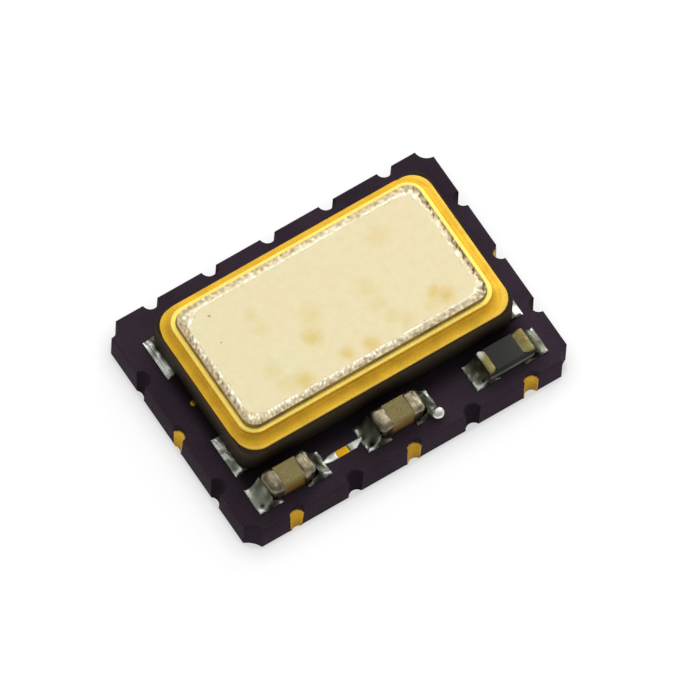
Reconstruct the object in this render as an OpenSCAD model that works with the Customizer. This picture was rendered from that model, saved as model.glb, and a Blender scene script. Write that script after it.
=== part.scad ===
// Temperature compensated crystal oscillator, surface mounted, 7 x 5 mm.
// Millimetres. The origin is in the middle of the underside, +X runs along
// the length, +Y to the back and +Z up. The row of chips is at the front.

/* [Base] */
// Length of the ceramic base
base_l = 7; // [6.6:0.1:9]
// Width of the ceramic base, front to back
base_w = 5; // [4.8:0.1:7]
// Height of the base's top face above the board it is soldered to
base_h = 0.7; // [0.6:0.05:1.2]
// Radius of the quarter round notch at each corner
corner_notch_r = 0.25; // [0.15:0.01:0.35]

/* [Castellations] */
// Distance between neighbouring castellations
pitch = 1.27; // [1.1:0.01:1.33]
// Radius of the half round castellations
castellation_r = 0.155; // [0.12:0.005:0.24]
// Offset of the front and back castellations along the base
castellation_x = 0.035; // [-0.05:0.005:0.05]
// Offset of the end castellations across the base
castellation_y = -0.025; // [-0.05:0.005:0.05]
// Bare ceramic above the plating of a castellation
bare_rim = 0.18; // [0.05:0.01:0.3]
// Width of a terminal's pad on the underside, along the edge
terminal_w = 0.64; // [0.5:0.01:0.9]
// Depth of a terminal's pad on the underside, in from the edge
terminal_d = 0.85; // [0.5:0.01:1]
// Thickness of the gold plating and of the printed metal
plating_t = 0.015; // [0.01:0.005:0.03]

/* [Oscillator chip] */
// Length of the pocket in the underside
pocket_l = 3.2; // [2.6:0.1:3.6]
// Width of the pocket in the underside
pocket_w = 2.2; // [2:0.1:2.6]
// Depth of the pocket
pocket_h = 0.4; // [0.35:0.01:0.45]
// Length of the silicon die
die_l = 1.9; // [1.4:0.1:2.2]
// Width of the silicon die
die_w = 1.5; // [1:0.1:1.7]
// Thickness of the silicon die
die_h = 0.2; // [0.1:0.01:0.24]
// Radius of a gold bump under the die
bump_r = 0.045; // [0.03:0.005:0.06]
// Height of a gold bump
bump_h = 0.04; // [0.02:0.005:0.06]
// Distance between neighbouring bumps
bump_pitch = 0.45; // [0.3:0.01:0.5]
// Distance from the die's edge to the middle of a row of bumps
bump_inset = 0.12; // [0.08:0.01:0.2]
// How far the potting resin stays below the underside of the ceramic
resin_recess = 0.03; // [0.01:0.01:0.06]

/* [Chip row] */
// Distance from the base's front edge to the middle of the chips
row_inset = 0.58; // [0.5:0.01:0.7]
// Distance between the middles of neighbouring chips
row_pitch = 2.35; // [2.2:0.01:2.4]
// Offset of the row along the base
row_x = 0.015; // [-0.1:0.005:0.1]
// Distance over both lands of a chip
land_span = 1.55; // [1.4:0.01:1.7]
// Length of a chip's land
land_l = 0.5; // [0.4:0.01:0.55]
// Width of a chip's land
land_w = 0.55; // [0.5:0.01:0.62]
// Width of the trace that links the two capacitors
trace_w = 0.15; // [0.1:0.01:0.25]

/* [Capacitors] */
// Length over the end caps
capacitor_l = 1; // [0.9:0.01:1.1]
// Width over the end caps
capacitor_w = 0.48; // [0.4:0.01:0.54]
// Height over the end caps
capacitor_h = 0.5; // [0.35:0.01:0.6]
// Length of an end cap
capacitor_end_l = 0.27; // [0.15:0.01:0.32]
// Thickness of an end cap's metal
capacitor_end_t = 0.02; // [0.01:0.005:0.03]
// Rounding of an end cap's edges
capacitor_edge_r = 0.06; // [0.04:0.01:0.1]

/* [Resistor] */
// Length over the end strips
resistor_l = 1; // [0.9:0.01:1.1]
// Width
resistor_w = 0.5; // [0.4:0.01:0.54]
// Height over the end strips
resistor_h = 0.34; // [0.28:0.01:0.45]
// Length of the left end strip
resistor_left_l = 0.165; // [0.12:0.005:0.28]
// Length of the right end strip
resistor_right_l = 0.245; // [0.12:0.005:0.28]
// Thickness of an end strip and of the dark glass film
resistor_end_t = 0.02; // [0.01:0.005:0.03]
// Bare ceramic in front of and behind the dark film
film_margin = 0.02; // [0.01:0.005:0.05]
// Gap between the dark film and an end strip
film_gap = 0.01; // [0.005:0.005:0.03]

/* [Solder] */
// Thickness of the solder between a land and a chip
solder_t = 0.03; // [0.02:0.005:0.05]
// Thickness of the solder at a land's outer edge
solder_edge_t = 0.03; // [0.015:0.005:0.06]
// Height that the solder climbs on a capacitor's end
capacitor_climb = 0.38; // [0.2:0.01:0.42]
// Height that the solder climbs on the resistor's end
resistor_climb = 0.24; // [0.12:0.01:0.28]
// Depth of the hollow in a chip joint's face
solder_hollow = 0.05; // [0.02:0.005:0.07]
// Length of the trace that solder has crept over, at each end
creep_l = 0.28; // [0.1:0.01:0.36]
// Thickness of the crept solder
creep_t = 0.025; // [0.015:0.005:0.04]
// Radius of the solder ball on the second capacitor's land
ball_r = 0.13; // [0.08:0.01:0.16]
// Distance of the ball's middle in from the land's end
ball_inset = 0.095; // [0.05:0.005:0.15]
// Height that the solder climbs on the package's end wall
package_climb = 0.02; // [0.01:0.01:0.2]
// Depth of the hollow in a package joint's face
package_hollow = 0.01; // [0.005:0.005:0.02]

/* [Crystal package] */
// Length of the ceramic body
package_l = 5.9; // [5.6:0.1:6.4]
// Width of the ceramic body
package_w = 3.36; // [3:0.02:3.6]
// Height of the ceramic body
package_h = 0.64; // [0.55:0.01:0.9]
// Rounding of the body's upright edges
package_corner_r = 0.15; // [0.1:0.01:0.3]
// Thickness of the wall round the cavity
package_wall = 0.7; // [0.6:0.01:0.8]
// Depth of the cavity
cavity_h = 0.4; // [0.36:0.01:0.45]
// Rounding of the cavity's upright corners
cavity_corner_r = 0.12; // [0.08:0.01:0.3]
// Gap between the chips and the package
package_chip_gap = 0.26; // [0.15:0.01:0.4]
// Offset of the package along the base
package_x = 0.03; // [-0.1:0.01:0.1]
// Clear height between the base and the package
package_standoff = 0.08; // [0.06:0.01:0.15]
// Length of the package's pads, in from the end wall
package_pad_l = 0.8; // [0.5:0.01:1.2]
// Width of the package's pads and of their lands
package_pad_w = 0.85; // [0.6:0.01:1.1]
// Distance from the package's long side to its pads
package_pad_inset = 0.1; // [0.05:0.01:0.2]
// How far a land reaches out past the package's end wall
package_land_out = 0.13; // [0.1:0.01:0.25]

/* [Seal] */
// Bare ceramic rim round the seal metal
metal_margin = 0.035; // [0.02:0.005:0.08]
// Outer corner radius of the seal metal
metal_corner_r = 0.42; // [0.3:0.01:0.6]
// Bare ceramic between the cavity and the seal metal
metal_inset = 0.06; // [0.03:0.01:0.12]
// Distance from the package's edge to the seal ring
ring_margin = 0.23; // [0.18:0.01:0.3]
// Width of the seal ring's section
ring_band = 0.3; // [0.25:0.01:0.34]
// Height of the seal ring
ring_h = 0.19; // [0.12:0.01:0.3]
// Outer corner radius of the seal ring
ring_corner_r = 0.36; // [0.35:0.01:0.5]
// Rounding of the seal ring's upper edges
ring_edge_r = 0.035; // [0.02:0.005:0.05]
// Offset of the ring and the lid along the package
ring_x = -0.045; // [-0.06:0.005:0.06]
// Offset of the ring and the lid across the package
ring_y = 0.03; // [-0.06:0.005:0.06]
// Thickness of the braze under the ring
braze_t = 0.015; // [0.01:0.005:0.03]
// Radius of the hollow braze fillet at the ring's foot
braze_r = 0.09; // [0.05:0.01:0.12]

/* [Lid] */
// Distance from the ring's edge to the lid's edge
lid_margin = 0.09; // [0.06:0.01:0.12]
// Corner radius of the lid
lid_corner_r = 0.27; // [0.22:0.01:0.4]
// Thickness of the lid
lid_t = 0.12; // [0.08:0.01:0.2]
// Thickness left at the lid's edge by the seam weld
lid_edge_t = 0.045; // [0.03:0.005:0.06]
// Width of the sloping seam weld track
track_w = 0.16; // [0.1:0.01:0.2]

/* [Quartz] */
// Height of the two ledges that carry the quartz, above the cavity's floor
ledge_h = 0.12; // [0.08:0.01:0.16]
// Length and width of a ledge
ledge_l = 0.6; // [0.5:0.01:0.7]
// Free space between the quartz and the cavity's walls
quartz_gap = 0.2; // [0.12:0.01:0.3]
// Thickness of the quartz blank
quartz_t = 0.08; // [0.05:0.01:0.1]
// Length of an electrode
electrode_l = 2; // [1.4:0.1:2.4]
// Width of an electrode
electrode_w = 1.1; // [0.8:0.05:1.2]
// Thickness of an electrode
electrode_t = 0.01; // [0.008:0.001:0.012]
// Width of an electrode's tab
tab_w = 0.3; // [0.2:0.01:0.36]
// Height of a dot of conductive glue
glue_h = 0.04; // [0.03:0.005:0.05]
// Radius of a dot of conductive glue
glue_r = 0.13; // [0.1:0.01:0.16]

/* [Via] */
// Radius of the gold filled via
via_r = 0.06; // [0.04:0.005:0.1]
// Depth of the via
via_d = 0.3; // [0.2:0.01:0.4]
// Distance of the via's middle outside the package's end wall
via_out = 0.025; // [0:0.005:0.08]
// Distance of the via's middle behind the package's middle
via_y = 0.08; // [-0.2:0.01:0.2]

/* [Hidden] */
$fn = 48;
cut = 0.1;

// Castellations either side of the middle one, and how many pitches lie
// between neighbouring terminals.
long_side_steps = 2;
short_side_steps = 1;
terminal_steps = 2;
terminal_x = terminal_steps * pitch;

// Levels, from the board up
land_top = base_h + plating_t;
chip_z = land_top + solder_t;
package_z = base_h + package_standoff;
package_pad_z = package_z - plating_t;
package_top = package_z + package_h;
metal_top = package_top + plating_t;
ring_z = metal_top + braze_t;
lid_z = ring_z + ring_h;
pocket_roof = plating_t + pocket_h;
cavity_floor = package_top - cavity_h;
ledge_top = cavity_floor + ledge_h;
glue_z = ledge_top + plating_t;
quartz_z = glue_z + glue_h + electrode_t;

// Places in plan
row_y = row_inset - base_w / 2;
chip_x = [for (i = [-1:1]) row_x + i * row_pitch];
package_y = row_y + capacitor_w / 2 + package_chip_gap + package_w / 2;
package_land_y = package_w / 2 - package_pad_inset - package_pad_w / 2;

// Length of the film that the resistor's two end strips leave free
film_l = resistor_l - resistor_left_l - resistor_right_l - 2 * film_gap;

// Plan sizes that follow the package
metal_l = package_l - 2 * metal_margin;
metal_w = package_w - 2 * metal_margin;
ring_l = package_l - 2 * ring_margin;
ring_w = package_w - 2 * ring_margin;
lid_l = ring_l - 2 * lid_margin;
lid_w = ring_w - 2 * lid_margin;
cavity_l = package_l - 2 * package_wall;
cavity_w = package_w - 2 * package_wall;
quartz_l = cavity_l - 2 * quartz_gap;
quartz_w = cavity_w - 2 * quartz_gap;
glue_x = -quartz_l / 2 + glue_r;
glue_y = quartz_w / 2 - glue_r;

// Bumps stand in two rows along the die
bump_count = 4;
bump_y = die_w / 2 - bump_inset;

// Colours
ceramic_dark = "#342a38";
ceramic_package = "#453c38";
ceramic_white = "#d8d4c8";
gold = "#e0b83c";
solder_grey = "#9a9e9a";
tin = "#b4aa98";
nickel = "#eee2b8";

// A block centred in plan, standing on z
module block(l, w, h, z = 0) {
    translate([-l / 2, -w / 2, z]) cube([l, w, h]);
}

// A rectangle with round corners, centred
module rounded_plan(l, w, r) {
    square([l - 2 * r, w], center = true);
    square([l, w - 2 * r], center = true);
    for (sx = [-1, 1], sy = [-1, 1])
        translate([sx * (l / 2 - r), sy * (w / 2 - r)]) circle(r);
}

// A brick whose twelve edges are round, standing on z
module rounded_brick(l, w, h, r, z = 0) {
    translate([0, 0, z + h / 2]) intersection() {
        translate([0, 0, -h / 2]) linear_extrude(h) rounded_plan(l, w, r);
        rotate([90, 0, 0]) translate([0, 0, -w / 2]) linear_extrude(w) rounded_plan(l, h, r);
        rotate([90, 0, 90]) translate([0, 0, -l / 2]) linear_extrude(l) rounded_plan(w, h, r);
    }
}

// Sweeps an upright profile round a rectangle with round corners. The
// profile's x runs outward from the middle of a corner, and its y runs up.
module sweep_round(l, w, r) {
    half_l = l / 2 - r;
    half_w = w / 2 - r;
    for (turn = [0, 180]) rotate([0, 0, turn]) {
        translate([half_l, half_w, 0]) rotate([90, 0, 0]) linear_extrude(2 * half_w) children();
        translate([-half_l, half_w, 0]) rotate([90, 0, 90]) linear_extrude(2 * half_l) children();
        translate([half_l, half_w, 0]) rotate_extrude(angle = 90) children();
        translate([-half_l, half_w, 0]) rotate([0, 0, 90]) rotate_extrude(angle = 90) children();
    }
}

// Puts its children at every castellation
module at_castellations() {
    for (side = [-1, 1]) {
        for (i = [-long_side_steps:long_side_steps])
            translate([castellation_x + i * pitch, side * base_w / 2, 0]) children();
        for (i = [-short_side_steps:short_side_steps])
            translate([side * base_l / 2, castellation_y + i * pitch, 0]) children();
    }
}

// Moves from the base to the middle of the crystal package
module at_package(z = 0) {
    translate([package_x, package_y, z]) children();
}

// Moves to the middle of the ring and the lid
module at_ring(z = 0) {
    at_package(z) translate([ring_x, ring_y, 0]) children();
}

// Moves to one chip of the row: 0 and 1 are capacitors, 2 is the resistor
module at_chip(i, z = 0) {
    translate([chip_x[i], row_y, z]) children();
}

// Turns a piece made for the right end so that it faces side -1 or 1
module to_side(side) {
    mirror([side < 0 ? 1 : 0, 0, 0]) children();
}

// The castellated ceramic, with the pocket for the die in its underside
module base_substrate()
    color(ceramic_dark)
    difference() {
        block(base_l, base_w, base_h - plating_t, plating_t);
        at_castellations() translate([0, 0, -cut]) cylinder(r = castellation_r, h = base_h + 2 * cut);
        for (sx = [-1, 1], sy = [-1, 1])
            translate([sx * base_l / 2, sy * base_w / 2, -cut])
                cylinder(r = corner_notch_r, h = base_h + 2 * cut);
        block(pocket_l, pocket_w, pocket_roof + cut, -cut);
        via_place() cylinder(r = via_r, h = via_d + cut);
    }

// A plated castellation and its pad, at the origin with +Y into the base
module terminal()
    color(gold)
    difference() {
        union() {
            cylinder(r = castellation_r, h = base_h - bare_rim);
            translate([-terminal_w / 2, 0, 0]) cube([terminal_w, terminal_d, plating_t]);
        }
        translate([0, 0, -cut]) cylinder(r = castellation_r - plating_t, h = base_h + 2 * cut);
        translate([-base_l / 2, -base_w, -cut]) cube([base_l, base_w, base_h + 2 * cut]);
    }

module terminal_front(step)
    translate([castellation_x + step * terminal_x, -base_w / 2, 0]) terminal();

module terminal_back(step)
    translate([castellation_x + step * terminal_x, base_w / 2, 0]) rotate([0, 0, 180]) terminal();

module terminal_end(side)
    translate([side * base_l / 2, castellation_y, 0]) rotate([0, 0, side * 90]) terminal();

// The via's foot, below the base's top face
module via_place()
    translate([package_x - package_l / 2 - via_out, package_y + via_y, base_h - via_d]) children();

module via() color(gold) via_place() cylinder(r = via_r, h = via_d + plating_t);

// Places of the bumps between the die and the pocket's roof
module at_bumps() {
    for (i = [0:bump_count - 1], sy = [-1, 1])
        translate([(i - (bump_count - 1) / 2) * bump_pitch, sy * bump_y, pocket_roof - bump_h]) children();
}

module oscillator_die() color("#5a5a62") block(die_l, die_w, die_h, pocket_roof - bump_h - die_h);

module die_bumps() color(gold) at_bumps() cylinder(r = bump_r, h = bump_h);

module potting_resin()
    color("#202024")
    difference() {
        block(pocket_l, pocket_w, pocket_h - resin_recess, plating_t + resin_recess);
        block(die_l, die_w, die_h, pocket_roof - bump_h - die_h);
        at_bumps() cylinder(r = bump_r, h = bump_h + cut);
    }

// A chip's land at the right end of its place
module chip_land() translate([land_span / 2 - land_l, -land_w / 2, base_h]) cube([land_l, land_w, plating_t]);

module chip_land_at(i, side) color(gold) at_chip(i) to_side(side) chip_land();

// The two inner lands of the capacitors and the trace between them, printed in one piece
module capacitor_link()
    color(gold) {
        at_chip(0) chip_land();
        at_chip(1) to_side(-1) chip_land();
        translate([chip_x[0] + land_span / 2 - cut, row_y - trace_w / 2, base_h])
            cube([row_pitch - land_span + 2 * cut, trace_w, plating_t]);
    }

// The fired ceramic block of a capacitor, inside its end caps
module capacitor_core()
    rounded_brick(
        capacitor_l - 2 * capacitor_end_t, capacitor_w - 2 * capacitor_end_t,
        capacitor_h - 2 * capacitor_end_t, capacitor_edge_r - capacitor_end_t,
        chip_z + capacitor_end_t);

module capacitor_body(i) color("#a8965e") at_chip(i) capacitor_core();

module capacitor_end(i, side)
    color(tin)
    at_chip(i) to_side(side)
    difference() {
        intersection() {
            rounded_brick(capacitor_l, capacitor_w, capacitor_h, capacitor_edge_r, chip_z);
            translate([capacitor_l / 2 - capacitor_end_l, -capacitor_w, 0])
                cube([capacitor_l, 2 * capacitor_w, chip_z + 2 * capacitor_h]);
        }
        capacitor_core();
    }

module resistor_body()
    color(ceramic_white)
    at_chip(2)
    block(resistor_l - 2 * resistor_end_t, resistor_w, resistor_h - 2 * resistor_end_t, chip_z + resistor_end_t);

module resistor_film()
    color("#2c2c2c")
    at_chip(2)
    translate([(resistor_left_l - resistor_right_l) / 2, 0, 0])
    block(film_l, resistor_w - 2 * film_margin, resistor_end_t, chip_z + resistor_h - resistor_end_t);

// An end strip, strip_l long, folds over the top, the end and the underside of the resistor
module resistor_end(side, strip_l)
    color(tin)
    at_chip(2) to_side(side)
    difference() {
        translate([resistor_l / 2 - strip_l, -resistor_w / 2, chip_z])
            cube([strip_l, resistor_w, resistor_h]);
        translate([0, -resistor_w, chip_z + resistor_end_t])
            cube([resistor_l / 2 - resistor_end_t, 2 * resistor_w, resistor_h - 2 * resistor_end_t]);
    }

// Upright profile of solder between x = 0 and x = foot. It is climb high at
// x = 0 and edge high at x = foot, and its face is hollowed by depth.
module hollow_profile(foot, climb, edge, depth) {
    chord = [foot, edge - climb];
    d = norm(chord);
    r = (d * d / 4 + depth * depth) / (2 * depth);
    outward = [-chord[1], chord[0]] / d;
    difference() {
        polygon([[0, 0], [foot, 0], [foot, edge], [0, climb]]);
        translate([foot, climb + edge] / 2 + outward * (r - depth)) circle(r);
    }
}

// Solder joint at the right end of a chip
module chip_solder(chip_l, climb) {
    land_x = land_span / 2 - land_l;
    translate([land_x, -land_w / 2, land_top]) cube([chip_l / 2 - land_x, land_w, solder_t]);
    translate([chip_l / 2, land_w / 2, land_top]) rotate([90, 0, 0]) linear_extrude(land_w)
        hollow_profile((land_span - chip_l) / 2, climb, solder_edge_t, solder_hollow);
}

// Solder that has crept from the right land along the trace
module crept_solder()
    translate([land_span / 2 - cut, -trace_w / 2, land_top]) cube([creep_l + cut, trace_w, creep_t]);

module capacitor_solder(i, side, crept = false)
    color(solder_grey)
    at_chip(i) to_side(side) {
        chip_solder(capacitor_l, capacitor_climb);
        if (crept) crept_solder();
    }

// This joint has a stray ball of solder on its front corner
module balled_solder()
    color(solder_grey) {
        capacitor_solder(1, 1);
        at_chip(1) translate([land_span / 2 - ball_inset, -land_w / 2, land_top + ball_r]) sphere(ball_r);
    }

module resistor_solder(side)
    color(solder_grey) at_chip(2) to_side(side) chip_solder(resistor_l, resistor_climb);

// Puts its children, made for the back right corner, at one corner of the package
module at_package_corner(sx, sy)
    at_package() mirror([sx < 0 ? 1 : 0, 0, 0]) mirror([0, sy < 0 ? 1 : 0, 0])
        translate([package_l / 2, package_land_y, 0]) children();

module package_land(sx, sy)
    color(gold) at_package_corner(sx, sy)
        translate([-package_pad_l, -package_pad_w / 2, base_h])
            cube([package_pad_l + package_land_out, package_pad_w, plating_t]);

module package_solder(sx, sy)
    color(solder_grey) at_package_corner(sx, sy) {
        translate([-package_pad_l, -package_pad_w / 2, land_top])
            cube([package_pad_l, package_pad_w, package_pad_z - land_top]);
        translate([0, package_pad_w / 2, land_top]) rotate([90, 0, 0]) linear_extrude(package_pad_w)
            hollow_profile(package_land_out, package_z + package_climb - land_top, solder_edge_t, package_hollow);
    }

// The four pads printed on the package's underside
module package_pads()
    color(gold)
    for (sx = [-1, 1], sy = [-1, 1]) at_package_corner(sx, sy)
        translate([-package_pad_l, -package_pad_w / 2, package_pad_z])
            cube([package_pad_l, package_pad_w, plating_t]);

// Puts its children on the ledge in the cavity's left front or left back corner
module at_ledge(sy)
    translate([ledge_l / 2 - cavity_l / 2, sy * (cavity_w / 2 - ledge_l / 2), 0]) children();

// The ceramic box, with a cavity and two ledges for the quartz
module package_body()
    color(ceramic_package)
    at_package() {
        difference() {
            translate([0, 0, package_z]) linear_extrude(package_h)
                rounded_plan(package_l, package_w, package_corner_r);
            translate([0, 0, cavity_floor]) linear_extrude(cavity_h + cut)
                rounded_plan(cavity_l, cavity_w, cavity_corner_r);
        }
        for (sy = [-1, 1]) intersection() {
            at_ledge(sy) block(ledge_l, ledge_l, ledge_h + cut, cavity_floor - cut);
            translate([0, 0, cavity_floor - cut]) linear_extrude(ledge_h + cut)
                rounded_plan(cavity_l, cavity_w, cavity_corner_r);
        }
    }

// The flat gold plated frame that is fired onto the package's top
module seal_metal()
    color(gold)
    at_package(package_top) linear_extrude(plating_t) difference() {
        rounded_plan(metal_l, metal_w, metal_corner_r);
        rounded_plan(cavity_l + 2 * metal_inset, cavity_w + 2 * metal_inset, cavity_corner_r);
    }

// Section of the braze: a layer under the ring and a hollow fillet outside it
module braze_profile() {
    translate([ring_corner_r - ring_band, 0]) square([ring_band, braze_t]);
    difference() {
        translate([ring_corner_r, 0]) square([braze_r, braze_t + braze_r]);
        translate([ring_corner_r + braze_r, braze_t + braze_r]) circle(braze_r);
    }
}

module braze() color("#b98c1c") at_ring(metal_top) sweep_round(ring_l, ring_w, ring_corner_r) braze_profile();

// Section of the seal ring, with its two upper edges round
module ring_profile()
    translate([ring_corner_r - ring_band, 0]) {
        square([ring_band, ring_h - ring_edge_r]);
        translate([ring_edge_r, 0]) square([ring_band - 2 * ring_edge_r, ring_h]);
        for (x = [ring_edge_r, ring_band - ring_edge_r]) translate([x, ring_h - ring_edge_r]) circle(ring_edge_r);
    }

module seal_ring() color("#ecc954") at_ring(ring_z) sweep_round(ring_l, ring_w, ring_corner_r) ring_profile();

// Half section of the lid's border, with the slope that the seam weld leaves
module lid_profile()
    polygon([
        [0, 0], [lid_corner_r, 0], [lid_corner_r, lid_edge_t],
        [lid_corner_r - track_w, lid_t], [0, lid_t]
    ]);

module lid()
    color(nickel)
    at_ring(lid_z) {
        sweep_round(lid_l, lid_w, lid_corner_r) lid_profile();
        block(lid_l - 2 * lid_corner_r, lid_w - 2 * lid_corner_r, lid_t);
    }

// The two lands printed on the ledges
module blank_lands()
    color(gold)
    at_package() for (sy = [-1, 1])
        translate([glue_x, sy * glue_y, 0]) block(2 * glue_r, 2 * glue_r, plating_t, ledge_top);

module glue_dot(sy)
    color("#c9c9c4")
    at_package(glue_z) translate([glue_x, sy * glue_y, 0]) cylinder(r = glue_r, h = glue_h);

module quartz_blank() color("#dfe6ea") at_package() block(quartz_l, quartz_w, quartz_t, quartz_z);

// An electrode's round tab runs from the plate to the quartz's left end, on side sy
module electrode(sy, z) {
    block(electrode_l, electrode_w, electrode_t, z);
    translate([-quartz_l / 2, sy > 0 ? quartz_w / 2 - tab_w : -quartz_w / 2, z])
        cube([quartz_l / 2 - electrode_l / 2 + tab_w, tab_w, electrode_t]);
}

module electrode_bottom() color("#e8e4da") at_package() electrode(-1, quartz_z - electrode_t);

// The upper electrode folds round the quartz's end to reach its glue dot
module electrode_top()
    color("#e8e4da")
    at_package() {
        electrode(1, quartz_z + quartz_t);
        translate([-quartz_l / 2 - electrode_t, quartz_w / 2 - tab_w, quartz_z - electrode_t])
            cube([electrode_t, tab_w, quartz_t + 2 * electrode_t]);
        translate([-quartz_l / 2 - electrode_t, quartz_w / 2 - tab_w, quartz_z - electrode_t])
            cube([2 * glue_r + electrode_t, tab_w, electrode_t]);
    }

base_substrate();
terminal_front(-1);  // terminal_front_left
terminal_front(0);  // terminal_front_middle
terminal_front(1);  // terminal_front_right
terminal_back(-1);  // terminal_back_left
terminal_back(0);  // terminal_back_middle
terminal_back(1);  // terminal_back_right
terminal_end(-1);  // terminal_left
terminal_end(1);  // terminal_right
via();
oscillator_die();
die_bumps();
potting_resin();
chip_land_at(0, -1);  // capacitor_1_land
capacitor_link();
chip_land_at(1, 1);  // capacitor_2_land
chip_land_at(2, -1);  // resistor_land_left
chip_land_at(2, 1);  // resistor_land_right
capacitor_body(0);  // capacitor_1_body
capacitor_end(0, -1);  // capacitor_1_end_left
capacitor_end(0, 1);  // capacitor_1_end_right
capacitor_body(1);  // capacitor_2_body
capacitor_end(1, -1);  // capacitor_2_end_left
capacitor_end(1, 1);  // capacitor_2_end_right
resistor_body();
resistor_film();
resistor_end(-1, resistor_left_l);  // resistor_end_left
resistor_end(1, resistor_right_l);  // resistor_end_right
capacitor_solder(0, -1);  // capacitor_1_solder_left
capacitor_solder(0, 1, true);  // capacitor_1_solder_right
capacitor_solder(1, -1, true);  // capacitor_2_solder_left
balled_solder();  // capacitor_2_solder_right
resistor_solder(-1);  // resistor_solder_left
resistor_solder(1);  // resistor_solder_right
package_land(-1, -1);  // package_land_front_left
package_land(1, -1);  // package_land_front_right
package_land(-1, 1);  // package_land_back_left
package_land(1, 1);  // package_land_back_right
package_solder(-1, -1);  // package_solder_front_left
package_solder(1, -1);  // package_solder_front_right
package_solder(-1, 1);  // package_solder_back_left
package_solder(1, 1);  // package_solder_back_right
package_pads();
package_body();
seal_metal();
braze();
seal_ring();
lid();
blank_lands();
glue_dot(-1);  // glue_dot_front
glue_dot(1);  // glue_dot_back
quartz_blank();
electrode_top();
electrode_bottom();
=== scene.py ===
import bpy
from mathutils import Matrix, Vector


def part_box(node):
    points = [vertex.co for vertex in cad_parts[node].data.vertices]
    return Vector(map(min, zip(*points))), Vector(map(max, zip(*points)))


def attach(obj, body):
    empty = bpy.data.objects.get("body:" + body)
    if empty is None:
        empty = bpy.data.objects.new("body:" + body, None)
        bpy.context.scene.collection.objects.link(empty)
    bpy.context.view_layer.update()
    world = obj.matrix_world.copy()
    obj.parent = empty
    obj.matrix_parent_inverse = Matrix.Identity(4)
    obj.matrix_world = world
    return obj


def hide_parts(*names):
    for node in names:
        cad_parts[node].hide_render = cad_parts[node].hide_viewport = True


bl_info = {
    "name": "Castellated crystal oscillator",
    "version": (1, 0, 0),
    "blender": (4, 5, 0),
    "location": "View3D > Sidebar > Oscillator",
    "description": "Dresses the oscillator: ceramic base, gold, solder, chips and the seam welded crystal package",
    "category": "Object",
}

import math
import random

import bmesh
import bpy
from bpy.props import FloatProperty, FloatVectorProperty, IntProperty, PointerProperty
from mathutils import Matrix, Vector, noise

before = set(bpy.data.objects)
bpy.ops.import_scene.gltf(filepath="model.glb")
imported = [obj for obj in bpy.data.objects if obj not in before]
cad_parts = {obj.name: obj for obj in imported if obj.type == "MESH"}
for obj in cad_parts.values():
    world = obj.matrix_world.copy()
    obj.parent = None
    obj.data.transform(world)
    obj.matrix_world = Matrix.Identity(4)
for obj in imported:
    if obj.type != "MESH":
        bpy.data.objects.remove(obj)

MM = 0.001
BODY = "root"
CORNER_STEPS = 20
BRIGHT_SIDE = (0.58, 0.6, 0.55)


# Properties

def size(name, description, millimetres):
    """A length that the user can change, stored in metres."""
    return FloatProperty(
        name=name, description=description, default=millimetres * MM, min=0, precision=6, unit="LENGTH")


def shift(name, description, millimetres):
    """A distance either way that the user can change, stored in metres."""
    return FloatProperty(name=name, description=description, default=millimetres * MM, precision=6, unit="LENGTH")


def paint(red, green, blue):
    """An sRGB colour of 0 to 255 as the linear values that shaders take."""
    def linear(value):
        value /= 255
        return value / 12.92 if value <= 0.04045 else ((value + 0.055) / 1.055) ** 2.4
    return (linear(red), linear(green), linear(blue))


def colour(name, description, red, green, blue):
    return FloatVectorProperty(
        name=name, description=description, default=paint(red, green, blue), min=0, max=1, size=3, subtype="COLOR")


class BaseSettings(bpy.types.PropertyGroup):
    pitch: size("Pitch", "Distance between neighbouring castellations", 1.27)
    castellation_r: size("Castellation radius", "Radius of the half round castellations", 0.155)
    castellation_x: shift("Castellations along", "Offset of the front and back castellations along the base", 0.035)
    castellation_y: shift("Castellations across", "Offset of the end castellations across the base", -0.025)
    corner_r: size("Corner notch radius", "Radius of the quarter round notch at each corner", 0.25)
    edge_r: size("Edge radius", "Rounding of the ceramic's edges", 0.03)
    bare_rim: size("Bare rim", "Bare ceramic above a castellation's plating", 0.18)
    terminal_w: size("Terminal width", "Width of a pad on the underside", 0.64)
    terminal_d: size("Terminal depth", "Depth of a pad on the underside", 0.85)
    plating_t: size("Plating thickness", "Thickness of the gold plating", 0.015)
    pocket_l: size("Pocket length", "Length of the pocket in the underside", 3.2)
    pocket_w: size("Pocket width", "Width of the pocket in the underside", 2.2)
    pocket_h: size("Pocket depth", "Depth of the pocket in the underside", 0.4)
    ceramic: colour("Ceramic", "Fired ceramic of the base", 60, 48, 59)
    back_rim: size("Back rim", "How much lower the linings end along the back edge", 0.2)
    plating: colour("Terminal gold", "Gold of the castellations and pads", 234, 184, 30)
    printed: colour("Printed gold", "Gold of the trace, the via and the lands", 226, 172, 34)


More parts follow.
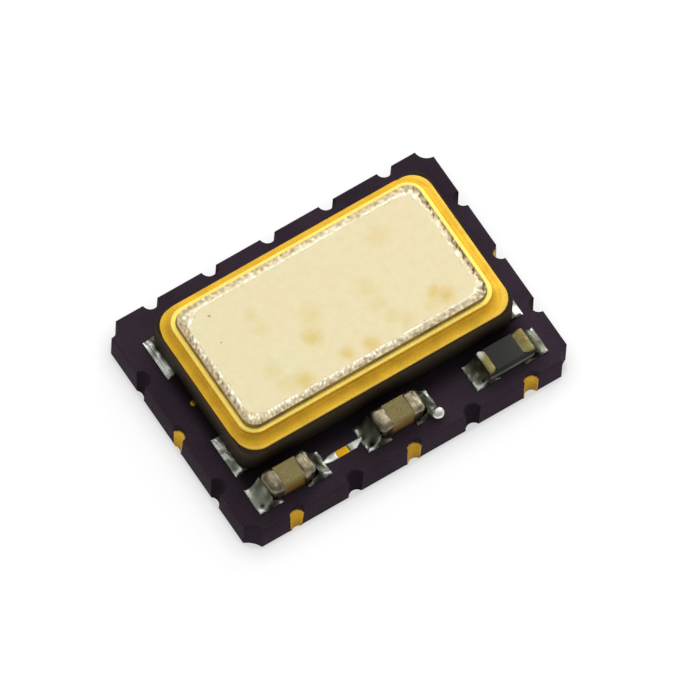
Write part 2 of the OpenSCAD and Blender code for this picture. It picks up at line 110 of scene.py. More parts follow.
class ChipSettings(bpy.types.PropertyGroup):
    land_span: size("Land span", "Distance over both lands of a chip", 1.55)
    land_l: size("Land length", "Length of a chip's land", 0.5)
    land_w: size("Land width", "Width of a chip's land", 0.55)
    trace_w: size("Trace width", "Width of the trace between the capacitors", 0.15)
    creep_l: size("Crept length", "Length of the trace that solder covers at each end", 0.28)
    solder_t: size("Solder thickness", "Solder between a land and its chip", 0.03)
    capacitor_climb: size("Capacitor climb", "Height of the solder on a capacitor's end", 0.38)
    resistor_climb: size("Resistor climb", "Height of the solder on the resistor's end", 0.24)
    ball_r: size("Ball radius", "Radius of the ball of solder on the second capacitor's land", 0.12)
    capacitor: colour("Capacitor ceramic", "Fired block of the capacitors", 136, 121, 66)
    tin: colour("Tin", "Plating of the chips' ends", 156, 146, 122)
    left_strip: size("Left strip", "Length of the resistor's left end strip", 0.165)
    right_strip: size("Right strip", "Length of the resistor's right end strip", 0.245)
    strip: colour("Resistor strips", "Top of the resistor's end strips", 134, 128, 84)
    film: colour("Film", "Dark glass film of the resistor", 36, 36, 32)
    alumina: colour("Alumina", "White ceramic of the resistor", 176, 174, 166)
    solder: colour("Solder", "Reflowed solder", 168, 173, 158)
    flux: colour("Stained solder", "Solder under dark flux", 118, 116, 100)


class PackageSettings(bpy.types.PropertyGroup):
    corner_r: size("Corner radius", "Rounding of the package's upright edges", 0.32)
    edge_r: size("Edge radius", "Rounding of the package's other edges", 0.02)
    land_out: size("Joint reach", "How far a joint reaches out past the package's end", 0.13)
    metal_corner_r: size("Metal corner radius", "Outer corner radius of the seal metal", 0.42)
    ring_corner_r: size("Ring corner radius", "Outer corner radius of the seal ring", 0.36)
    ring_band: size("Ring width", "Width of the ring's section", 0.3)
    braze_share: FloatProperty(
        name="Braze reach", description="Share of the flat seal metal that the braze's hollow covers", default=0.72, min=0.1, max=1)
    ring_edge_r: size("Ring edge radius", "Rounding of the ring's upper edges", 0.018)
    lid_corner_r: size("Lid corner radius", "Corner radius of the lid", 0.27)
    lid_edge_t: size("Lid edge", "Thickness left at the lid's edge by the seam weld", 0.045)
    track_w: size("Track width", "Width of the seam weld track", 0.16)
    foot_w: size("Weld foot width", "Width of the dark line at the lid's edge", 0.014)
    ripple_pitch: size("Ripple pitch", "Distance between the weld's ripples", 0.078)
    ripple_h: size("Ripple height", "Height of the weld's ripples", 0.008)
    ceramic: colour("Package ceramic", "Fired ceramic of the crystal package", 80, 69, 56)
    gold: colour("Seal gold", "Gold of the flat seal metal", 237, 199, 80)
    speck: colour("Specks", "Dark specks in the gold", 140, 96, 14)
    braze: colour("Braze", "Gold over the braze at the ring's foot", 241, 191, 50)
    ring: colour("Ring gold", "Gold of the seal ring", 255, 226, 112)
    lid: colour("Lid", "Pale nickel plating of the lid", 226, 215, 178)
    track: colour("Weld track", "Metal of the seam weld track", 204, 190, 156)
    hollow: colour("Weld hollows", "Heat tinted metal between the weld's ripples", 168, 150, 118)
    # Painted shade in the crease where the lid meets the ring.
    foot_shade: colour("Weld foot", "Dark line where the lid meets the ring", 180, 152, 86)
    stain: colour("Stain", "Warm stains on the lid", 214, 190, 112)
    lid_speck: colour("Lid specks", "Small dark specks on the lid", 150, 142, 100)


class StageSettings(bpy.types.PropertyGroup):
    azimuth: FloatProperty(name="Azimuth", description="Camera's angle round the part", default=math.radians(-36.083), subtype="ANGLE")
    elevation: FloatProperty(name="Elevation", description="Camera's angle above the floor", default=math.radians(64.559), subtype="ANGLE")
    roll: FloatProperty(name="Roll", description="Camera's turn about its own axis", default=math.radians(3.798), subtype="ANGLE")
    distance: FloatProperty(name="Distance", description="Camera's distance", default=0.33258, unit="LENGTH", precision=5)
    lens: FloatProperty(name="Lens", description="Focal length", default=934.5, unit="CAMERA")
    aim_right: size("Aim to the right", "How far the part's origin lies to the left of the view's middle", 0.2158)
    aim_up: size("Aim up", "How far the part's origin lies below the view's middle", 0.1309)
    lamp: FloatProperty(name="Lamp", description="Strength of the soft overhead lamp in watts", default=0.15)


# Reading the parts

def node_box(node):
    low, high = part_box(node)
    return low, high


def middle(node):
    low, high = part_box(node)
    return (low + high) / 2


# Meshes

def rounded_outline(length, width, radius, z, centre=(0, 0)):
    """Points round a rectangle with round corners, anticlockwise from its right side."""
    points = []
    for turn in range(4):
        sign_x = 1 if turn in (0, 3) else -1
        sign_y = 1 if turn in (0, 1) else -1
        corner_x = centre[0] + sign_x * (length / 2 - radius)
        corner_y = centre[1] + sign_y * (width / 2 - radius)
        for step in range(CORNER_STEPS + 1):
            angle = math.radians(90 * (turn + step / CORNER_STEPS))
            points.append(Vector((corner_x + radius * math.cos(angle), corner_y + radius * math.sin(angle), z)))
    return points


def add_loop(mesh, points):
    return [mesh.verts.new(point) for point in points]


def bridge(mesh, loops, closed=True):
    """Quads between neighbouring loops of equal length."""
    for lower, upper in zip(loops, loops[1:]):
        count = len(lower)
        for i in range(count if closed else count - 1):
            j = (i + 1) % count
            mesh.faces.new((lower[i], lower[j], upper[j], upper[i]))


def fill(mesh, *loops):
    """Flat triangles inside the first loop and outside the others."""
    edges = []
    for loop in loops:
        for i, vertex in enumerate(loop):
            following = loop[(i + 1) % len(loop)]
            edges.append(mesh.edges.get((vertex, following)) or mesh.edges.new((vertex, following)))
    bmesh.ops.triangle_fill(mesh, use_beauty=True, use_dissolve=False, edges=edges)


def triangulate(mesh):
    """Cuts the faces with more than four corners into triangles."""
    mesh.normal_update()
    bmesh.ops.triangulate(mesh, faces=[face for face in mesh.faces if len(face.verts) > 4])


def add_box(mesh, low, high):
    corners = [mesh.verts.new((x, y, z)) for z in (low[2], high[2]) for y in (low[1], high[1]) for x in (low[0], high[0])]
    for face in ((0, 1, 3, 2), (4, 6, 7, 5), (0, 4, 5, 1), (2, 3, 7, 6), (0, 2, 6, 4), (1, 5, 7, 3)):
        mesh.faces.new([corners[i] for i in face])


def piece(name, mesh, material, slot, *nodes, smooth_below=40):
    """Turns a bmesh into an object that rides on the body and stands for its nodes."""
    bmesh.ops.recalc_face_normals(mesh, faces=mesh.faces)
    data = bpy.data.meshes.new(name)
    mesh.to_mesh(data)
    mesh.free()
    data.shade_smooth()
    data.set_sharp_from_angle(angle=math.radians(smooth_below))
    materials = material if isinstance(material, (list, tuple)) else [material]
    for entry in materials:
        data.materials.append(entry)
    thing = bpy.data.objects.new(name, data)
    bpy.context.scene.collection.objects.link(thing)
    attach(thing, BODY)
    if nodes:
        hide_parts(*nodes)
    return thing


def bevel(thing, width, segments=2):
    """Rounds the sharp edges of a piece, applied to its mesh."""
    mesh = bmesh.new()
    mesh.from_mesh(thing.data)
    sharp = [e for e in mesh.edges if len(e.link_faces) == 2 and e.calc_face_angle() > math.radians(50)]
    bmesh.ops.bevel(mesh, geom=sharp, offset=width, segments=segments, profile=0.5, affect="EDGES", clamp_overlap=True)
    mesh.to_mesh(thing.data)
    mesh.free()
    thing.data.shade_smooth()
    thing.data.set_sharp_from_angle(angle=math.radians(40))


def roughen(mesh, amount, scale, seed=0):
    """Moves each point along its normal by smooth noise."""
    mesh.normal_update()
    shift = Vector((seed * 3.7, seed * 1.9, seed * 5.3))
    moves = [vertex.normal * (amount * noise.noise(vertex.co * scale + shift)) for vertex in mesh.verts]
    for vertex, move in zip(mesh.verts, moves):
        vertex.co += move


# Materials

def new_material(name):
    material = bpy.data.materials.new(name)
    material.use_nodes = True
    tree = material.node_tree
    shader = tree.nodes["Principled BSDF"]
    return material, tree, shader


def texture_place(tree, scale=1.0):
    """Object coordinates in millimetres, times scale."""
    coordinates = tree.nodes.new("ShaderNodeTexCoord")
    mapping = tree.nodes.new("ShaderNodeMapping")
    mapping.inputs["Scale"].default_value = (scale / MM,) * 3
    tree.links.new(coordinates.outputs["Object"], mapping.inputs["Vector"])
    return mapping.outputs["Vector"]


def add_noise(tree, place, scale, detail=3.0, roughness=0.5):
    node = tree.nodes.new("ShaderNodeTexNoise")
    node.inputs["Scale"].default_value = scale
    node.inputs["Detail"].default_value = detail
    node.inputs["Roughness"].default_value = roughness
    tree.links.new(place, node.inputs["Vector"])
    return node.outputs["Fac"]


def ramp(tree, value, stops):
    """A colour or grey ramp: stops are (place, colour or grey)."""
    node = tree.nodes.new("ShaderNodeValToRGB")
    elements = node.color_ramp.elements
    while len(elements) < len(stops):
        elements.new(0.5)
    for element, (place, shade) in zip(elements, stops):
        element.position = place
        element.color = (*shade, 1) if isinstance(shade, (tuple, list)) else (shade, shade, shade, 1)
    tree.links.new(value, node.inputs["Fac"])
    return node.outputs["Color"]


def scaled(shade, factor):
    return tuple(min(1.0, channel * factor) for channel in shade)


def blend_colours(tree, factor, first, second, mode="MIX"):
    node = tree.nodes.new("ShaderNodeMix")
    node.data_type = "RGBA"
    node.blend_type = mode
    for socket, value in (("Factor", factor), ("A", first), ("B", second)):
        target = next(s for s in node.inputs if s.name == socket and s.enabled)
        if isinstance(value, bpy.types.NodeSocket):
            tree.links.new(value, target)
        elif isinstance(value, (tuple, list)):
            target.default_value = (*value, 1)
        else:
            target.default_value = value
    return next(s for s in node.outputs if s.enabled)


def bump(tree, shader, height, strength, distance):
    node = tree.nodes.new("ShaderNodeBump")
    node.inputs["Strength"].default_value = strength
    node.inputs["Distance"].default_value = distance
    tree.links.new(height, node.inputs["Height"])
    tree.links.new(node.outputs["Normal"], shader.inputs["Normal"])


def ceramic_material(name, shade, grain=14.0, contrast=0.16, roughness=0.6, specular=0.06):
    """Fired ceramic: fine grain, faint clouds and a soft sheen."""
    material, tree, shader = new_material(name)
    place = texture_place(tree)
    clouds = ramp(tree, add_noise(tree, place, 0.9, 2), [(0.3, scaled(shade, 1 - contrast)), (0.7, scaled(shade, 1 + contrast))])
    fine = ramp(tree, add_noise(tree, place, grain * 3, 4, 0.7), [(0.3, 0.72), (0.7, 1.2)])
    tree.links.new(blend_colours(tree, 1.0, clouds, fine, "MULTIPLY"), shader.inputs["Base Color"])
    tree.links.new(ramp(tree, add_noise(tree, place, grain, 2), [(0.3, roughness - 0.08), (0.7, roughness + 0.1)]), shader.inputs["Roughness"])
    shader.inputs["Specular IOR Level"].default_value = specular
    bump(tree, shader, add_noise(tree, place, grain * 2, 4, 0.6), 0.25, 0.004 * MM)
    return material


def metal_material(name, shade, dark, roughness, rough_spread=0.08, grain=20.0, spots=0.35, bump_height=0.003):
    """Plated or soldered metal: shade varies to dark in spots, with fine grain."""
    material, tree, shader = new_material(name)
    place = texture_place(tree)
    tone = ramp(tree, add_noise(tree, place, 2.2, 4, 0.6), [(spots, dark), (spots + 0.22, shade)])
    fine = ramp(tree, add_noise(tree, place, grain * 2, 3, 0.6), [(0.25, 0.86), (0.75, 1.08)])
    tree.links.new(blend_colours(tree, 1.0, tone, fine, "MULTIPLY"), shader.inputs["Base Color"])
    shader.inputs["Metallic"].default_value = 1.0
    tree.links.new(
        ramp(tree, add_noise(tree, place, 5, 3), [(0.3, roughness - rough_spread), (0.7, roughness + rough_spread)]),
        shader.inputs["Roughness"])
    bump(tree, shader, add_noise(tree, place, grain, 4, 0.6), 0.3, bump_height * MM)
    return material


def spot_mask(tree, spots):
    """1 in the middle of each spot, fading to 0 at its radius. Spots are (x, y, radius) in millimetres."""
    place = texture_place(tree)
    flat = tree.nodes.new("ShaderNodeVectorMath")
    flat.operation = "MULTIPLY"
    flat.inputs[1].default_value = (1, 1, 0)
    tree.links.new(place, flat.inputs[0])
    wobble = tree.nodes.new("ShaderNodeVectorMath")
    wobble.operation = "MULTIPLY_ADD"
    cloud = tree.nodes.new("ShaderNodeTexNoise")
    cloud.inputs["Scale"].default_value = 4
    tree.links.new(place, cloud.inputs["Vector"])
    tree.links.new(cloud.outputs["Color"], wobble.inputs[0])
    wobble.inputs[1].default_value = (0.2, 0.2, 0)
    tree.links.new(flat.outputs[0], wobble.inputs[2])
    total = None
    for x, y, radius in spots:
        away = tree.nodes.new("ShaderNodeVectorMath")
        away.operation = "DISTANCE"
        tree.links.new(wobble.outputs[0], away.inputs[0])
        away.inputs[1].default_value = (x + 0.1, y + 0.1, 0)
        fade = tree.nodes.new("ShaderNodeMapRange")
        fade.interpolation_type = "SMOOTHSTEP"
        fade.inputs["From Min"].default_value = radius
        fade.inputs["From Max"].default_value = 0
        tree.links.new(away.outputs["Value"], fade.inputs["Value"])
        if total is None:
            total = fade.outputs["Result"]
            continue
        most = tree.nodes.new("ShaderNodeMath")
        most.operation = "MAXIMUM"
        tree.links.new(total, most.inputs[0])
        tree.links.new(fade.outputs["Result"], most.inputs[1])
        total = most.outputs[0]
    return total


def multiply(tree, value, factor):
    """The product of a socket and a number or another socket."""
    node = tree.nodes.new("ShaderNodeMath")
    node.operation = "MULTIPLY"
    tree.links.new(value, node.inputs[0])
    if isinstance(factor, bpy.types.NodeSocket):
        tree.links.new(factor, node.inputs[1])
    else:
        node.inputs[1].default_value = factor
    return node.outputs[0]


def speckle(material, shade):
    """Adds sparse dark specks to a material's colour."""
    tree = material.node_tree
    socket = tree.nodes["Principled BSDF"].inputs["Base Color"]
    before = socket.links[0].from_socket
    specks = ramp(tree, add_noise(tree, texture_place(tree), 9, 1), [(0.72, 0.0), (0.80, 0.6)])
    tree.links.new(blend_colours(tree, specks, before, shade), socket)


def lid_material(settings):
    """Pale plating with soft warm stains, two dark specks and fine grain."""
    material, tree, shader = new_material("lid_plating")
    place = texture_place(tree)
    tone = tuple(settings.lid)
    for stains, strength in ((LID_TINGES, 0.3), (LID_STAINS, 0.75)):
        tone = blend_colours(tree, multiply(tree, spot_mask(tree, stains), strength), tone, tuple(settings.stain))
    for scale in (0.7, 4.0):
        clouds = ramp(tree, add_noise(tree, place, scale, 2), [(0.3, (1.0, 0.975, 0.965)), (0.7, (0.98, 1.0, 0.985))])
        tone = blend_colours(tree, 1.0, tone, clouds, "MULTIPLY")
    tone = blend_colours(tree, spot_mask(tree, LID_SPECKS), tone, tuple(settings.lid_speck))
    fine = ramp(tree, add_noise(tree, place, 16, 3, 0.6), [(0.25, 0.96), (0.75, 1.02)])
    tree.links.new(blend_colours(tree, 1.0, tone, fine, "MULTIPLY"), shader.inputs["Base Color"])
    shader.inputs["Metallic"].default_value = 1.0
    tree.links.new(ramp(tree, add_noise(tree, place, 8, 3), [(0.3, 0.42), (0.7, 0.52)]), shader.inputs["Roughness"])
    bump(tree, shader, add_noise(tree, place, 9, 2), 0.08, 0.003 * MM)
    return material


def track_material(settings):
    """Rough weld metal, heat tinted and with painted shade in its hollows, and with painted near white glints on its
    pale flecks. The mesh's relief attribute gives the tone.
    """
    material, tree, shader = new_material("weld_track")
    place = texture_place(tree)
    relief = tree.nodes.new("ShaderNodeAttribute")
    relief.attribute_name = "relief"
    hollow = tuple(settings.hollow)
    # The darkest stop is painted shade and the near white top stops are painted glints.
    tone = ramp(tree, relief.outputs["Fac"], [
        (0.0, scaled(hollow, 0.3)), (0.22, hollow), (0.42, tuple(settings.track)), (0.55, tuple(settings.lid)),
        (0.85, (0.97, 0.95, 0.82)), (1.0, (1, 1, 0.95))])
    patches = ramp(tree, add_noise(tree, place, 5, 3, 0.6), [(0.32, (0.86, 0.78, 0.72)), (0.5, 1.0)])
    tree.links.new(blend_colours(tree, 1.0, tone, patches, "MULTIPLY"), shader.inputs["Base Color"])
    shader.inputs["Metallic"].default_value = 1.0
    tree.links.new(ramp(tree, add_noise(tree, place, 7, 3), [(0.3, 0.3), (0.7, 0.48)]), shader.inputs["Roughness"])
    bump(tree, shader, add_noise(tree, place, 15, 4, 0.7), 0.4, 0.006 * MM)
    return material


def paint_node(node, material):
    """Gives a CAD node that stays its finish."""
    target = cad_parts[node]
    target.data.materials.clear()
    target.data.materials.append(material)


# The base

# How far a notch's centre lies outside the edge at the notch's foot, in the order of the outline
NOTCH_FEET = {
    "front": (0.105, 0.075, 0.075, 0.07, 0.042), "right": (0.06,) * 3, "back": (0.06,) * 5, "left": (0.11, 0.105, 0.095)}
CORNER_FOOT = 0.2 * MM


def notch_arc(centre_u, radius, out, inset, corner=False, steps=28):
    """Points of a notch whose centre lies out outside its edge, which is moved in by inset.

    A corner's notch ends at the next edge, and its centre lies outside that edge too.
    """
    radius += inset
    lift = math.asin((inset + out) / radius)
    first, last = math.pi - lift, (math.pi / 2 + lift) if corner else lift
    centre_u += out if corner else 0
    angles = [first + (last - first) * i / steps for i in range(steps + 1)]
    return [(centre_u + radius * math.cos(a), radius * math.sin(a) - out) for a in angles]


def base_sides(settings, half_l, half_w):
    """For each side: direction along, direction inward, half length, distance, castellations, offset and feet."""
    right, back = Vector((1, 0, 0)), Vector((0, 1, 0))
    x, y = settings.castellation_x, settings.castellation_y
    return (
        (right, back, half_l, half_w, 2, x, NOTCH_FEET["front"]),
        (back, -right, half_w, half_l, 1, y, NOTCH_FEET["right"]),
        (-right, -back, half_l, half_w, 2, -x, NOTCH_FEET["back"]),
        (-back, right, half_w, half_l, 1, -y, NOTCH_FEET["left"]),
    )


def base_outline(settings, half_l, half_w, inset, z, foot):
    """The base's outline, and which points lie in a bare castellation. foot is 1 at the underside and 0 at the top."""
    points, in_bare_notch = [], []
    for along, inward, half, across, steps, offset, feet in base_sides(settings, half_l, half_w):
        local = []
        for i, out in zip(range(-steps, steps + 1), feet):
            arc = notch_arc(offset + i * settings.pitch, settings.castellation_r, out * MM * foot, inset)
            in_bare_notch += [i % 2 == 1] * len(arc)
            local += arc
        out = CORNER_FOOT * foot
        corner = notch_arc(half, math.hypot(settings.corner_r + out, out), out, inset, corner=True, steps=16)
        in_bare_notch += [False] * len(corner)
        points += [along * u + inward * (v - across) + Vector((0, 0, z)) for u, v in local + corner]
    return points, in_bare_notch


def paint_gap_shadow(material):
    """Painted shadow that darkens the base in front of and to the left of the crystal package."""
    low, high = node_box("package_body")
    tree = material.node_tree
    split = tree.nodes.new("ShaderNodeSeparateXYZ")
    tree.links.new(tree.nodes.new("ShaderNodeTexCoord").outputs["Object"], split.inputs[0])
    share = None
    for axis, clear, dark in (
            ("Y", low.y - 0.52 * MM, low.y - 0.08 * MM), ("Y", high.y, high.y - 0.5 * MM),
            ("X", low.x - 0.3 * MM, low.x), ("X", high.x + 0.15 * MM, high.x - 0.35 * MM)):
        fade = tree.nodes.new("ShaderNodeMapRange")
        fade.interpolation_type = "SMOOTHSTEP"
        fade.inputs["From Min"].default_value = clear
        fade.inputs["From Max"].default_value = dark
        tree.links.new(split.outputs[axis], fade.inputs["Value"])
        share = multiply(tree, share, fade.outputs["Result"]) if share else fade.outputs["Result"]
    socket = tree.nodes["Principled BSDF"].inputs["Base Color"]
    before = socket.links[0].from_socket
    # Painted shadow: the base's colour is darkened inside the soft box mask.
    darker = blend_colours(tree, 1.0, before, (0.28, 0.27, 0.25), "MULTIPLY")
    tree.links.new(blend_colours(tree, share, before, darker), socket)


def build_base(settings):
    """The castellated base, with its pocket and the hole for the via."""
    low, high = node_box("base_substrate")
    half_l, half_w = high.x, high.y
    edge = settings.edge_r
    mesh = bmesh.new()
    levels = []
    for step in range(5):
        angle = math.radians(90 * step / 4)
        levels.append((edge * (1 - math.sin(angle)) / 2, low.z + edge * (1 - math.cos(angle)) / 2))
    for step in range(5):
        angle = math.radians(90 * step / 4)
        levels.append((edge * (1 - math.cos(angle)), high.z - edge * (1 - math.sin(angle))))
    loops, dark = [], set()
    for inset, z in levels:
        points, in_bare_notch = base_outline(settings, half_l, half_w, inset, z, 1 - z / high.z)
        loops.append(add_loop(mesh, points))
        dark.update(vertex for vertex, inside in zip(loops[-1], in_bare_notch) if inside)
    bridge(mesh, loops)
    for face in mesh.faces:
        in_one_notch = (face.verts[0].co - face.verts[1].co).length < settings.castellation_r
        face.material_index = int(in_one_notch and all(vertex in dark for vertex in face.verts))

    pocket_x, pocket_y = settings.pocket_l / 2, settings.pocket_w / 2
    corners = ((-pocket_x, -pocket_y), (pocket_x, -pocket_y), (pocket_x, pocket_y), (-pocket_x, pocket_y))
    mouth = add_loop(mesh, [(x, y, low.z) for x, y in corners])
    roof = add_loop(mesh, [(x, y, low.z + settings.pocket_h) for x, y in corners])
    bridge(mesh, [mouth, roof])
    mesh.faces.new(roof)
    fill(mesh, loops[0], mouth)

    via_low, via_high = node_box("via")
    centre = (via_low + via_high) / 2
    radius = (via_high.x - via_low.x) / 2
    circle = [Vector((centre.x + radius * math.cos(a), centre.y + radius * math.sin(a), 0))
              for a in (math.tau * i / 24 for i in range(24))]
    rim = add_loop(mesh, [p + Vector((0, 0, high.z)) for p in circle])
    foot = add_loop(mesh, [p + Vector((0, 0, via_low.z)) for p in circle])
    bridge(mesh, [rim, foot])
    mesh.faces.new(foot)
    fill(mesh, loops[-1], rim)
    ceramic = ceramic_material("dark_ceramic", tuple(settings.ceramic), contrast=0.22, specular=0.02)
    # Painted shadow on the base in front of and to the left of the package.
    paint_gap_shadow(ceramic)
    # Painted shade: the base's sides are darker and pinker than its top face.
    tint_by_height(ceramic, low.z, high.z, [(0.0, (0.92, 0.80, 0.90)), (0.96, (0.92, 0.80, 0.90)), (1.0, 1.0)])
    # Painted shade: the bare castellations take a darker copy of the ceramic.
    shaded_notch = ceramic_material("shaded_notch_ceramic", scaled(tuple(settings.ceramic), 0.62), roughness=0.8, specular=0.02)
    piece("ceramic_base", mesh, [ceramic, shaded_notch], "dark_ceramic", "base_substrate", smooth_below=35)


def build_terminal(settings, node, along, inward, across, offset, out, top, material):
    """A plated castellation and its pad. along and inward are the edge's directions, out is its notch's foot."""
    def place(u, v, z):
        return along * (offset + u) + inward * (v - across) + Vector((0, 0, z))

    def shift(z):
        return out * MM * (1 - z / top)

    steps = 32
    inner_r = settings.castellation_r - settings.plating_t
    outer_r = settings.castellation_r
    thick, width, depth = settings.plating_t, settings.terminal_w / 2, settings.terminal_d
    wall_top = top - settings.bare_rim
    mesh = bmesh.new()

    def arc(radius, z, wave=0.0):
        points = []
        for i in range(steps + 1):
            lift = math.asin(shift(z) / radius)
            angle = math.pi - lift - (math.pi - 2 * lift) * i / steps
            rise = wave * noise.noise(Vector((offset / MM + i * 0.35, across / MM, 0)))
            points.append(place(radius * math.cos(angle), radius * math.sin(angle) - shift(z), z + rise))
        return add_loop(mesh, points)

    inner_foot, inner_top = arc(inner_r, 0), arc(inner_r, wall_top, 0.02 * MM)
    outer_foot, outer_top = arc(outer_r, thick), arc(outer_r, wall_top + 0.006 * MM, 0.02 * MM)
    bridge(mesh, [inner_foot, inner_top, outer_top, outer_foot], closed=False)
    corners = ((-width, 0.03 * MM), (-width, depth), (width, depth), (width, 0.03 * MM))
    lower = add_loop(mesh, [place(u, v, 0) for u, v in corners])
    upper = add_loop(mesh, [place(u, v, thick) for u, v in corners])
    bridge(mesh, [lower, upper], closed=False)
    mesh.faces.new(lower + inner_foot[::-1])
    mesh.faces.new(upper + outer_foot[::-1])
    mesh.faces.new((lower[0], inner_foot[0], inner_top[0], outer_top[0], outer_foot[0], upper[0]))
    mesh.faces.new((lower[3], upper[3], outer_foot[-1], outer_top[-1], inner_top[-1], inner_foot[-1]))
    triangulate(mesh)
    piece("gold_" + node, mesh, material, "gold_plating", node)


def terminal_material(name, shade):
    """Gold over fired paste."""
    material = metal_material(name, shade, scaled(shade, 0.72), 0.5, 0.1, grain=12.0, spots=0.38, bump_height=0.006)
    shader = material.node_tree.nodes["Principled BSDF"]
    shader.inputs["Metallic"].default_value = 0.4
    shader.inputs["Specular IOR Level"].default_value = 0.1
    return material


def build_terminals(settings):
    low, high = node_box("base_substrate")
    gold = terminal_material("terminal_gold", tuple(settings.plating))
    top = high.z - settings.bare_rim
    # Painted shade darkens the gold towards its foot, and a painted highlight makes it paler and brighter just below
    # the top of the plating, where its upper edge would catch the light.
    tint_by_height(gold, 0, top, [(0.0, (0.8, 0.72, 0.6)), (0.5, 1.0), (0.92, (1.1, 1.15, 1.6)), (1.0, (0.9, 0.9, 1.0))])
    sides = base_sides(settings, high.x, high.y)
    nodes = (
        ("terminal_front_left", "terminal_front_middle", "terminal_front_right"), ("terminal_right",),
        ("terminal_back_right", "terminal_back_middle", "terminal_back_left"), ("terminal_left",))
    for (along, inward, _, across, steps, offset, feet), row in zip(sides, nodes):
        places = [i for i in range(-steps, steps + 1) if i % 2 == 0]
        lining_top = high.z - (settings.back_rim if "back" in row[0] else 0)
        for i, node in zip(places, row):
            build_terminal(settings, node, along, inward, across, offset + i * settings.pitch, feet[i + steps], lining_top, gold)

    via_low, via_high = node_box("via")
    centre = (via_low + via_high) / 2
    radius = (via_high.x - via_low.x) / 2
    mesh = bmesh.new()
    loops = []
    for inset, z in ((0.02, via_low.z), (0, via_low.z + 0.01 * MM), (0, high.z), (0.1, via_high.z - 0.004 * MM), (0.35, via_high.z)):
        loops.append(add_loop(mesh, [
            (centre.x + radius * (1 - inset) * math.cos(a), centre.y + radius * (1 - inset) * math.sin(a), z)
            for a in (math.tau * i / 32 for i in range(32))]))
    bridge(mesh, loops)
    mesh.faces.new(loops[0])
    mesh.faces.new(loops[-1])
    printed = metal_material("via_gold", scaled(tuple(settings.printed), 0.75), scaled(tuple(settings.printed), 0.5), 0.4, grain=16.0)
    piece("gold_via", mesh, printed, "gold_plating", "via")


# Solder and chips

def add_mound(mesh, xs, ys, floor, surface):
    """A closed heap over a grid. surface(x, y) gives the height above floor and the tone."""
    tone_layer = mesh.verts.layers.float["tone"]
    rows = []
    for y in ys:
        row = []
        for x in xs:
            height, tone = surface(x, y)
            vertex = mesh.verts.new((x, y, floor + height))
            vertex[tone_layer] = tone
            row.append(vertex)
        rows.append(row)
    bridge(mesh, rows, closed=False)
    rim = rows[0] + [row[-1] for row in rows[1:-1]] + rows[-1][::-1] + [row[0] for row in rows[-2:0:-1]]
    skirt = [mesh.verts.new((v.co.x, v.co.y, floor)) for v in rim]
    bridge(mesh, [rim, skirt])
    mesh.faces.new(skirt)


def solder_mesh():
    mesh = bmesh.new()
    mesh.verts.layers.float.new("tone")
    return mesh


def spaced(first, last, count):
    return [first + (last - first) * i / (count - 1) for i in range(count)]


def add_joint(mesh, chips, centre, side, chip_end, half_chip, climb, joint, floor, seed):
    """A chip's solder joint: a fillet round the chip's end, with its own spots.

    joint is (outer edge, power of the fillet, tone, painted shade at the chip, spots). Each spot is
    (out, across, radius, height, tone) with out and across as shares of the land; a tone above zero paints a highlight
    and one below zero paints shade.
    """
    land_end, power, body_tone, chip_shade, spots = joint
    lap = 0.008 * MM
    outer = land_end * MM + lap
    inner = chips.land_span / 2 - chips.land_l
    half_w = chips.land_w / 2 + lap
    reach, gap = outer - chip_end, half_w - half_chip
    film = 0.03 * MM

    def surface(x, y):
        out = (x - centre.x) * side
        across = y - centre.y
        past_end, past_side = out - chip_end, abs(across) - half_chip
        if past_end < 0 and past_side < 0:
            return chips.solder_t, 0.4
        u, v = past_end / reach, across / half_w
        away = min(1.0, math.hypot(max(0.0, past_end) / reach, max(0.0, past_side) / gap * 0.8))
        here = climb if past_end >= 0 else climb * 0.7 * max(0.0, 1 + past_end / (0.22 * MM))
        height = film + max(0.0, here - film) * (1 - away) ** power
        wave = noise.noise(Vector((x, y, 0)) * 7000 + Vector((seed, 0, 0)))
        height += 0.016 * MM * wave * min(1, away * 2)
        # Painted shade darkens the tone close to the chip.
        tone = body_tone + 0.2 * wave - chip_shade * (1 - away)
        for spot_u, spot_v, radius, lift, shade in spots:
            near = math.exp(-((u - spot_u) ** 2 * reach ** 2 + (v - spot_v) ** 2 * half_w ** 2) / (radius * MM) ** 2)
            height += lift * MM * near
            tone += shade * near
        edge = min(1.0, (half_w - abs(across)) / (0.02 * MM)) * min(1.0, (outer - out) / (0.02 * MM))
        return max(0.018 * MM, height * (0.4 + 0.6 * math.sqrt(max(0.0, edge)))), max(0.0, min(1.0, tone))

    outs = spaced(inner, chip_end - 0.002 * MM, 12) + spaced(chip_end, outer, 34)
    xs = sorted(centre.x + side * out for out in outs)
    side_ys = spaced(half_chip, half_w, 7)
    ys = [-y for y in side_ys[::-1]] + spaced(-half_chip + 0.002 * MM, half_chip - 0.002 * MM, 34) + side_ys
    add_mound(mesh, xs, [centre.y + y for y in ys], floor, surface)


